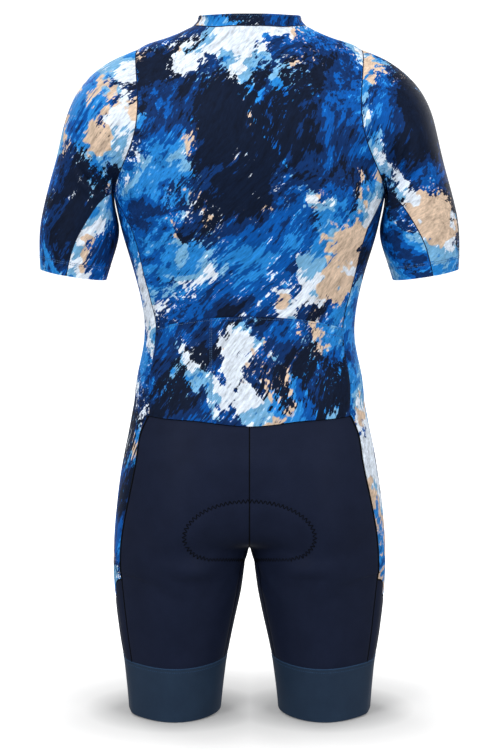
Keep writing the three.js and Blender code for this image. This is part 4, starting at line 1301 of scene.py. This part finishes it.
inside = (field[skin.faces].max(axis=1) < 1.2 * MM) & shorts_quads
pad_used, pad_local = np.unique(skin.faces[inside], return_inverse=True)
pad_points, pad_normals, pad_values = skin.points[pad_used].copy(), normals[pad_used], field[pad_used]
pad_local = pad_local.reshape(-1, 4)
rim_edges = {}
for face in pad_local:
    for a, b in zip(face, np.roll(face, -1)):
        rim_edges[frozenset((int(a), int(b)))] = rim_edges.get(frozenset((int(a), int(b))), 0) + 1
pad_rim = sorted({v for edge, count in rim_edges.items() if count == 1 for v in edge})
for v in pad_rim:
    probe = 0.5 * MM
    steps = [pad_field((pad_points[v] + np.eye(3)[k] * probe)[None])[0] - pad_values[v] for k in range(3)]
    slope = np.array(steps) / probe
    slope -= pad_normals[v] * (slope @ pad_normals[v])
    slide = -slope * pad_values[v] / max(slope @ slope, 0.2)
    pad_points[v] += slide * min(1, 3.5 * MM / max(np.linalg.norm(slide), 1e-9))
depth_in = np.clip(-pad_values / PAD_EASE, 0, 1)
body_depth = PAD_EDGE + (PAD_DEPTH - PAD_EDGE) * np.sqrt(1 - (1 - depth_in) ** 2)
channels = np.exp(-(((np.abs(pad_points[:, 0]) - 17 * MM) / CHANNEL_WIDTH) ** 2))
channels = np.maximum(channels, np.exp(-(((pad_values + 26 * MM) / CHANNEL_WIDTH) ** 2)))
body_depth -= CHANNEL_DEPTH * channels * depth_in
outer = pad_points - pad_normals * (CLOTH + PAD_GAP)
inner = outer - pad_normals * body_depth[:, None]
count = len(outer)
pad_faces = [tuple(f) for f in pad_local] + [tuple(int(i) + count for i in f[::-1]) for f in pad_local]
for face in pad_local:
    for a, b in zip(face, np.roll(face, -1)):
        if rim_edges[frozenset((int(a), int(b)))] == 1:
            pad_faces.append((int(b), int(a), int(a) + count, int(b) + count))
foam_points = np.vstack([outer, inner])
pad = new_piece("seat_pad_foam", foam_points, pad_faces, finishes["pad foam"], ["seat_pad"])
smooth(pad, 60)
print("pad", len(pad_faces), "faces")

# %% [markdown]
# The zip. Its tapes are woven strips under the edges of the fronts, and its moulded teeth stand between them in
# two rows that interlock. The teeth follow the chest's curve, so one tooth is modelled and a copy is set at each
# place along the centre line, turned with the cloth.

# %% Zip tapes
TAPE_COLUMNS = [2.0 * MM, 3.4 * MM, 4.2 * MM, 6 * MM, 9 * MM, 12 * MM, 14 * MM]  # distances from the centre
TAPE_THICKNESS, TAPE_GAP, EDGE_STRIP = 0.7 * MM, 0.35 * MM, 14
CHAIN_BOTTOM_Z, ZIP_STITCH = -522 * MM, 4 * MM


def zip_rows(side):
    """For each row up the zip's edge, its points from the edge outwards."""
    hand = "left" if side > 0 else "right"
    rows = [*panel_grid(f"front_{hand}", side), *panel_grid("collar", side)[1:]]
    return [row[: -EDGE_STRIP - 1 : -1] for row in rows]


def across_zip(row, x):
    """The place on a row at a distance from the centre front, also inside the cloth's edge."""
    widths = np.abs(skin.points[row][:, 0])
    k = int(np.clip(np.searchsorted(widths, x) - 1, 0, len(row) - 2))
    t = (x - widths[k]) / (widths[k + 1] - widths[k])
    ends = [np.hstack([skin.points[row[k + i]], normals[row[k + i]]]) for i in (0, 1)]
    both = ends[0] + (ends[1] - ends[0]) * t
    return both[:3], unit(both[3:])


centre_line = [across_zip(row, 0.0) for row in zip_rows(1)]
centre_points = np.array([p * (0, 1, 1) for p, _ in centre_line])
centre_outs = unit(np.array([n * (0, 1, 1) for _, n in centre_line]))

for side, hand in ((1, "left"), (-1, "right")):
    rows = [row for row in zip_rows(side) if skin.points[row[0]][2] > CHAIN_BOTTOM_Z - 4 * MM]
    placed = [across_zip(row, x) for row in rows for x in TAPE_COLUMNS]
    width = len(TAPE_COLUMNS)
    points = [p - n * (CLOTH + TAPE_GAP) for p, n in placed]
    corners = [(i * width + j, i * width + j + 1) for i in range(len(rows) - 1) for j in range(width - 1)]
    faces = [(a, b, b + width, a + width)[::-side] for a, b in corners]
    name = f"zip_tape_{hand}"
    tape = new_piece(f"{name}_weave", points, faces, finishes["zip tape"], [name])
    layer = tape.data.uv_layers.new(name="cloth")
    place_of = [(TAPE_COLUMNS[i % width], points[i][2]) for i in range(len(points))]
    layer.data.foreach_set("uv", [c for face in faces for i in face for c in place_of[i]])
    thicken(tape, TAPE_THICKNESS)
    smooth(tape)
    sew(f"zip_stitches_{hand}", [inset_line(rows, ZIP_STITCH)], "navy thread")
    along = np.array([points[i] for i in range(0, len(points), width)])

# %% [markdown]
# Hard pieces are modelled as by hand: a primitive at its place, pushed about in edit mode and bevelled. They are
# made lying flat, with x across the zip, y down it and z out of the cloth, and then laid onto the chest.

# %% Hard pieces


def block(name, low, high):
    """A cube between two corners."""
    middle = [(a + b) / 2 for a, b in zip(low, high)]
    bpy.ops.object.select_all(action="DESELECT")
    bpy.ops.mesh.primitive_cube_add(size=1, location=middle, scale=[b - a for a, b in zip(low, high)])
    made = bpy.context.object
    made.name = name
    bpy.ops.object.transform_apply(location=True, rotation=True, scale=True)
    return made


def rod(name, radius, low_x, high_x, y, z, sides=24):
    """A rod across the zip."""
    bpy.ops.object.select_all(action="DESELECT")
    bpy.ops.mesh.primitive_cylinder_add(
        vertices=sides,
        radius=radius,
        depth=high_x - low_x,
        location=((low_x + high_x) / 2, y, z),
        rotation=(0, math.pi / 2, 0),
    )
    made = bpy.context.object
    made.name = name
    bpy.ops.object.transform_apply(location=True, rotation=True, scale=True)
    return made


def edit(thing, kind, chosen, action):
    """Selects the vertices, edges or faces that a test accepts, and runs an edit-mode action on them."""
    only(thing)
    bpy.ops.object.mode_set(mode="EDIT")
    bpy.ops.mesh.select_mode(type=kind)
    bpy.ops.mesh.select_all(action="DESELECT")
    mesh = bmesh.from_edit_mesh(thing.data)
    parts = {"VERT": mesh.verts, "EDGE": mesh.edges, "FACE": mesh.faces}[kind]
    for part in parts:
        part.select_set(bool(chosen(part)))
    mesh.select_flush_mode()
    bmesh.update_edit_mesh(thing.data)
    action()
    bpy.ops.object.mode_set(mode="OBJECT")


def bore(thing, tool):
    """Cuts a tool's shape out of a piece."""
    hole = thing.modifiers.new("bore", "BOOLEAN")
    hole.operation, hole.object, hole.solver = "DIFFERENCE", tool, "EXACT"
    apply_all(thing)
    bpy.data.objects.remove(tool)


def soften(thing, width, segments=2):
    edge = thing.modifiers.new("soft edges", "BEVEL")
    edge.width, edge.segments = width, segments
    edge.limit_method, edge.angle_limit = "ANGLE", math.radians(40)
    apply_all(thing)


def joined(name, pieces):
    bpy.ops.object.select_all(action="DESELECT")
    for piece in pieces:
        piece.select_set(True)
    bpy.context.view_layer.objects.active = pieces[0]
    bpy.ops.object.join()
    pieces[0].name = name
    return pieces[0]


def finish_hard(thing, finish, body, replaces, place):
    """Lays a finished hard piece onto the chest and says what it is."""
    thing.data.transform(place)
    if place.determinant() < 0:
        thing.data.flip_normals()
    thing.data.materials.clear()
    thing.data.materials.append(finishes[finish])
    smooth(thing, 35)
    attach(thing, body)
    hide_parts(*replaces)


# %% Zip teeth
TOOTH_PITCH, TOOTH_HALF_WIDTH = 2.2 * MM, 0.46 * MM
TOOTH_ROOT, TOOTH_NECK, TOOTH_HEAD = -2.3 * MM, 0.1 * MM, 0.8 * MM  # across the zip
TOOTH_BOTTOM, TOOTH_TOP = -2.5 * MM, -0.5 * MM  # from the outer face of the cloth
SLIDER_CLEARANCE = 1.2 * MM

tooth_low, tooth_high = (TOOTH_ROOT, -TOOTH_HALF_WIDTH, TOOTH_BOTTOM), (TOOTH_NECK, TOOTH_HALF_WIDTH, TOOTH_TOP)
tooth = block("tooth", tooth_low, tooth_high)
head_move = {"value": (TOOTH_HEAD - TOOTH_NECK, 0, 0)}
edit(
    tooth,
    "FACE",
    lambda face: face.normal.x > 0.9,
    lambda: bpy.ops.mesh.extrude_region_move(TRANSFORM_OT_translate=head_move),
)
edit(
    tooth,
    "VERT",
    lambda vertex: vertex.co.x > TOOTH_HEAD - 0.1 * MM,
    lambda: bpy.ops.transform.resize(value=(1, 1.25, 0.8)),
)
soften(tooth, 0.14 * MM, 1)
tooth_points = np.array([v.co for v in tooth.data.vertices])
tooth_faces = [tuple(face.vertices) for face in tooth.data.polygons]
bpy.data.objects.remove(tooth)

pivot = np.array(frame["joints"][0]["pos_m"])
slider_z = pivot[2]
on_chain = (centre_points[:, 2] > CHAIN_BOTTOM_Z) & (centre_points[:, 2] < slider_z + SLIDER_CLEARANCE)
at, outs, alongs = resample(centre_points[on_chain], centre_outs[on_chain], TOOTH_PITCH / 2)
chain_points, chain_faces = [], []
for k, (p, out, along) in enumerate(zip(at, outs, alongs)):
    side = 1 if k % 2 else -1
    spread = np.stack([np.array([-side, 0, 0]), along, out])
    chain_points.append(p + tooth_points @ spread)
    flip = -1 if np.linalg.det(spread) < 0 else 1
    chain_faces += [tuple(i + k * len(tooth_points) for i in face)[::flip] for face in tooth_faces]
chain_points = np.vstack(chain_points)
teeth = new_piece("zip_teeth", chain_points, chain_faces, finishes["zip teeth"], ["zip_chain"])
smooth(teeth, 35)
print("zip teeth", len(at), "with", len(tooth_faces), "faces each")

# %% [markdown]
# The slider is two plates held apart by a post, with side walls that squeeze the teeth together. It narrows
# towards its lower end. Two lugs carry the pin on which the pull swings, so the pull is a piece of its own that
# rides on its own body.

# %% Slider and pull
CHEST_TILT = math.radians(5.58)  # how far the chest leans back at the slider
PLATE_HALF_WIDTH, PLATE_HALF_LENGTH, PLATE_THICKNESS = 4.2 * MM, 4.6 * MM, 1.3 * MM
PLATE_TOP, PLATE_BOTTOM, PLATE_TAPER = 0.1 * MM, -3.5 * MM, 0.82
LUG_INNER, LUG_OUTER, LUG_RADIUS = 2 * MM, 3.3 * MM, 1.3 * MM
PIN_Y, PIN_Z, PIN_RADIUS = -0.6 * MM, 3.6 * MM, 0.7 * MM
PULL_LENGTH, PULL_HALF_WIDTH, PULL_THICKNESS, PULL_LEAN = 21 * MM, 3 * MM, 1.3 * MM, math.radians(10)
NECK_HALF_WIDTH, NECK_LENGTH, EYE_RADIUS, EYE_BORE = 1.7 * MM, 2.6 * MM, 1.9 * MM, 1.0 * MM
HOLE_RADIUS, GRIP_MARGIN, GRIP_DEPTH = 1.3 * MM, 0.7 * MM, 0.2 * MM

way_out = Vector((0, -math.cos(CHEST_TILT), -math.sin(CHEST_TILT)))
way_down = Vector((0, math.sin(CHEST_TILT), -math.cos(CHEST_TILT)))
slider_place = Matrix.Identity(4)
for column, axis in enumerate((Vector((1, 0, 0)), way_down, way_out)):
    slider_place.col[column][:3] = axis
slider_place.translation = Vector(pivot) - way_down * PIN_Y - way_out * PIN_Z


def slider_plate(name, bottom):
    w, h = PLATE_HALF_WIDTH, PLATE_HALF_LENGTH
    plate = block(name, (-w, -h, bottom), (w, h, bottom + PLATE_THICKNESS))
    edit(
        plate,
        "VERT",
        lambda vertex: vertex.co.y > h - 0.1 * MM,
        lambda: bpy.ops.transform.resize(value=(PLATE_TAPER, 1, 1)),
    )
    edit(
        plate,
        "EDGE",
        lambda e: abs((e.verts[0].co - e.verts[1].co).z) > 1 * MM,
        lambda: bpy.ops.mesh.bevel(offset=1.2 * MM, segments=5, affect="EDGES"),
    )
    soften(plate, 0.3 * MM)
    return plate


def slider_wall(sign):
    inner, outer = sorted((sign * LUG_OUTER * PLATE_TAPER, sign * PLATE_HALF_WIDTH * PLATE_TAPER))
    h = PLATE_HALF_LENGTH
    wall = block("slider_wall", (inner, -h * 0.8, -0.9 * MM), (outer, h * 0.85, 0.6 * MM))
    soften(wall, 0.15 * MM)
    return wall


def slider_lug(sign):
    inner, outer = sorted((sign * LUG_INNER, sign * LUG_OUTER))
    foot = block("slider_lug", (inner, PIN_Y - LUG_RADIUS, 1 * MM), (outer, PIN_Y + LUG_RADIUS, PIN_Z))
    top = rod("slider_lug_top", LUG_RADIUS, inner, outer, PIN_Y, PIN_Z)
    for piece in (foot, top):
        soften(piece, 0.2 * MM)
    return joined("slider_lug", [foot, top])


post_low = (-1 * MM, -4.1 * MM, PLATE_BOTTOM - PLATE_THICKNESS / 2)
post_high = (1 * MM, -2 * MM, PLATE_TOP + 0.3 * MM)
slider_pieces = [
    slider_plate("slider_top", PLATE_TOP),
    slider_plate("slider_back", PLATE_BOTTOM - PLATE_THICKNESS),
    block("slider_post", post_low, post_high),
    rod("slider_pin", PIN_RADIUS, -LUG_OUTER - 0.25 * MM, LUG_OUTER + 0.25 * MM, PIN_Y, PIN_Z),
]
slider_pieces += [make(sign) for make in (slider_wall, slider_lug) for sign in (1, -1)]
slider = joined("zip_slider_body", slider_pieces)
finish_hard(slider, "zip metal", "suit", ["zip_slider"], slider_place)

half = PULL_THICKNESS / 2
tab_low, tab_high = (-PULL_HALF_WIDTH, NECK_LENGTH - 0.2 * MM, -half), (PULL_HALF_WIDTH, PULL_LENGTH, half)
tab = block("zip_pull_tab", tab_low, tab_high)
edit(
    tab,
    "EDGE",
    lambda e: abs((e.verts[0].co - e.verts[1].co).z) > 1 * MM and e.verts[0].co.y > PULL_LENGTH - 1 * MM,
    lambda: bpy.ops.mesh.bevel(offset=PULL_HALF_WIDTH * 0.96, segments=10, affect="EDGES"),
)
for facing in (1, -1):
    edit(
        tab,
        "FACE",
        lambda face, facing=facing: face.normal.z * facing > 0.9,
        lambda: bpy.ops.mesh.inset(thickness=GRIP_MARGIN, depth=-GRIP_DEPTH),
    )
hole = rod("pull_hole", HOLE_RADIUS, -4 * MM, 4 * MM, 0, 0)
hole.data.transform(Matrix.Translation((0, PULL_LENGTH - 3.4 * MM, 0)) @ Matrix.Rotation(math.pi / 2, 4, "Y"))
bore(tab, hole)
neck_low, neck_high = (-NECK_HALF_WIDTH, EYE_BORE + 0.2 * MM, -half), (NECK_HALF_WIDTH, NECK_LENGTH, half)
neck = block("pull_neck", neck_low, neck_high)
eye = rod("pull_eye", EYE_RADIUS, -NECK_HALF_WIDTH, NECK_HALF_WIDTH, 0, 0)
bore(eye, rod("pull_bore", EYE_BORE, -4 * MM, 4 * MM, 0, 0))
for piece in (tab, neck, eye):
    soften(piece, 0.15 * MM)
pull = joined("zip_pull_tab", [tab, neck, eye])
lean = Matrix.Translation((0, PIN_Y, PIN_Z)) @ Matrix.Rotation(PULL_LEAN, 4, "X")
finish_hard(pull, "zip metal", "zip_pull", ["zip_pull"], slider_place @ lean)
print("slider", len(slider.data.polygons), "faces, pull", len(pull.data.polygons), "faces")

# %% [markdown]
# Every panel is a sheet of cloth with a cut size. The suit is worn stretched, by about a twentieth each way, so
# a panel's cut is its size on the body less that stretch. Width is taken along its longest row, length along its
# longest column, and the flat area from its own faces.

# %% Cut sizes
STRETCH = 1.05


def run_length(points):
    return float(np.linalg.norm(np.diff(points, axis=0), axis=1).sum())


def cut_size(name, rows=None):
    """A panel's flat width and length, over both sides of the suit where it crosses the centre."""
    width = length = 0.0
    sides = [1] if name.endswith("left") else [-1] if name.endswith("right") else [1, -1]
    for side in sides:
        grid = panel_grid(name, side)[:rows]
        width += max(run_length(skin.points[row[row >= 0]]) for row in grid)
        length = max(length, *(run_length(skin.points[column[column >= 0]]) for column in grid.T))
    return width / STRETCH, length / STRETCH


def declare(panel, flat):
    """A sheet's flat width and length, and its flat area: half of its skin's, less the stretch."""
    area = sum(face.area for face in panel.data.polygons) / 2 / STRETCH**2
    area = min(area, flat[0] * flat[1])
    return [round(v, 3) for v in (*flat, area)]


cuts = {name: declare(panel, cut_size(name)) for name, panel in panels.items()}
cuts["back_pocket"] = declare(pocket, cut_size("back_panel", POCKET_ROWS + 1))
for name, cut_of in cuts.items():
    print("cut of", name, *cut_of)

# %% [markdown]
# The floor and the backdrop are one plain pale bowl: a flat floor that curves up all round. The photo's
# background is almost pure white with a soft shadow under the hems. So the bowl glows by itself: fully far off,
# and only dimly round each hem, which paints a shadow into the floor there on top of the one the lamps cast. It
# is hidden from the light's bounces, because a real cut-out background sheds no light on the suit either.

# %% Floor
FLOOR_RADIUS, BOWL_CURVE, BOWL_HEIGHT, BOWL_SIDES = 6.0, 1.6, 8.0, 64
FLOOR_GAP = 1 * MM
HEM_X, NEAR_REACH, FAR_REACH = 105 * MM, 0.006, 0.11  # a hem's middle, and squared distances from it
# The bowl's glow is dim near each hem and full far off: a painted shadow on the floor round the hems.
HEM_SHADOW_GLOWS = [(0.0, 0.1), (0.1, 0.37), (0.3, 0.52), (1.0, 1.0)]  # from the near reach to the far one
floor_z = cad_box[0][2] - FLOOR_GAP

arc = [math.radians(a) for a in range(0, 91, 9)]
bowl = [(0.02, 0.0), (2.0, 0.0)]
bowl += [(FLOOR_RADIUS + BOWL_CURVE * math.sin(a), BOWL_CURVE * (1 - math.cos(a))) for a in arc]
bowl += [(FLOOR_RADIUS + BOWL_CURVE, BOWL_HEIGHT)]
turns = [2 * math.pi * k / BOWL_SIDES for k in range(BOWL_SIDES)]
bowl_points = [(r * math.cos(a), r * math.sin(a), floor_z + up) for r, up in bowl for a in turns]
bowl_faces = [tuple(range(BOWL_SIDES))]
for i in range(len(bowl) - 1):
    for k in range(BOWL_SIDES):
        here, there = i * BOWL_SIDES, (i + 1) * BOWL_SIDES
        after = (k + 1) % BOWL_SIDES
        bowl_faces.append((here + k, there + k, there + after, here + after))
bowl_mesh = bpy.data.meshes.new("studio_bowl")
bowl_mesh.from_pydata(bowl_points, [], bowl_faces)
bowl_mesh.polygons.foreach_set("use_smooth", [True] * len(bowl_faces))
bowl_board = Board("studio_bowl", Roughness=0.9, Base_Color=(0.46, 0.46, 0.46, 1), Emission_Strength=1.0)
x, y, _ = bowl_board.split(bowl_board.place())
x = x.math("ABSOLUTE", x) - HEM_X
hem_shadow_stops = [(at, (glow, glow, glow, 1)) for at, glow in HEM_SHADOW_GLOWS]
# Painted shadow: the glow rises from dim at a hem's middle to full beyond the far reach.
reach = (x * x + y * y).above((NEAR_REACH + FAR_REACH) / 2, FAR_REACH - NEAR_REACH)
bowl_board.set(Emission_Color=bowl_board.ramp(reach, hem_shadow_stops))
bowl_mesh.materials.append(bowl_board.material)
studio_bowl = make_object("studio_bowl", bowl_mesh)
studio_bowl.visible_diffuse = studio_bowl.visible_glossy = False

# The world would shine up through that bowl, so a dim card lies below it for the light's bounces alone.
CARD_GLOW, CARD_GAP = 0.1, 5 * MM
bpy.ops.object.select_all(action="DESELECT")
card_place = (0, 0, floor_z - CARD_GAP)
bpy.ops.mesh.primitive_circle_add(vertices=32, radius=FLOOR_RADIUS, fill_type="NGON", location=card_place)
card = bpy.context.object
card.name = "under_card"
bpy.ops.object.transform_apply(location=True, rotation=True, scale=True)
card_board = Board("under_card", Roughness=1.0, Emission_Strength=CARD_GLOW, Emission_Color=(1, 1, 1, 1))
card.data.materials.append(card_board.material)
card.visible_camera = card.visible_shadow = False

# %% Light
LIGHT_COLUMNS = "name place size power"
LIGHTS = [
    ("key", (1.9, 2.6, 1.2), 1.6, 60),
    ("fill", (-2.2, 2.4, 0.8), 1.8, 42),
    ("front_key", (1.7, -2.6, 1.3), 1.8, 50),
    ("front_fill", (-2.0, -2.4, 0.6), 1.8, 36),
    ("top", (0.0, 0.3, 2.6), 2.4, 30),
]
for light in named(LIGHT_COLUMNS, LIGHTS):
    lamp = bpy.data.lights.new(light["name"], "AREA")
    lamp.shape, lamp.size, lamp.energy = "DISK", light["size"], light["power"]
    holder = bpy.data.objects.new(light["name"], lamp)
    bpy.context.scene.collection.objects.link(holder)
    holder.location = light["place"]
    aim = Vector((0, 0, -0.45)) - holder.location
    holder.rotation_euler = aim.to_track_quat("-Z", "Y").to_euler()

WORLD_LIGHT = 0.45
world = bpy.data.worlds.new("studio")
world.use_nodes = True
world.node_tree.nodes["Background"].inputs["Color"].default_value = (1, 1, 1, 1)
world.node_tree.nodes["Background"].inputs["Strength"].default_value = WORLD_LIGHT
bpy.context.scene.world = world
bpy.context.scene.view_settings.view_transform = "Standard"
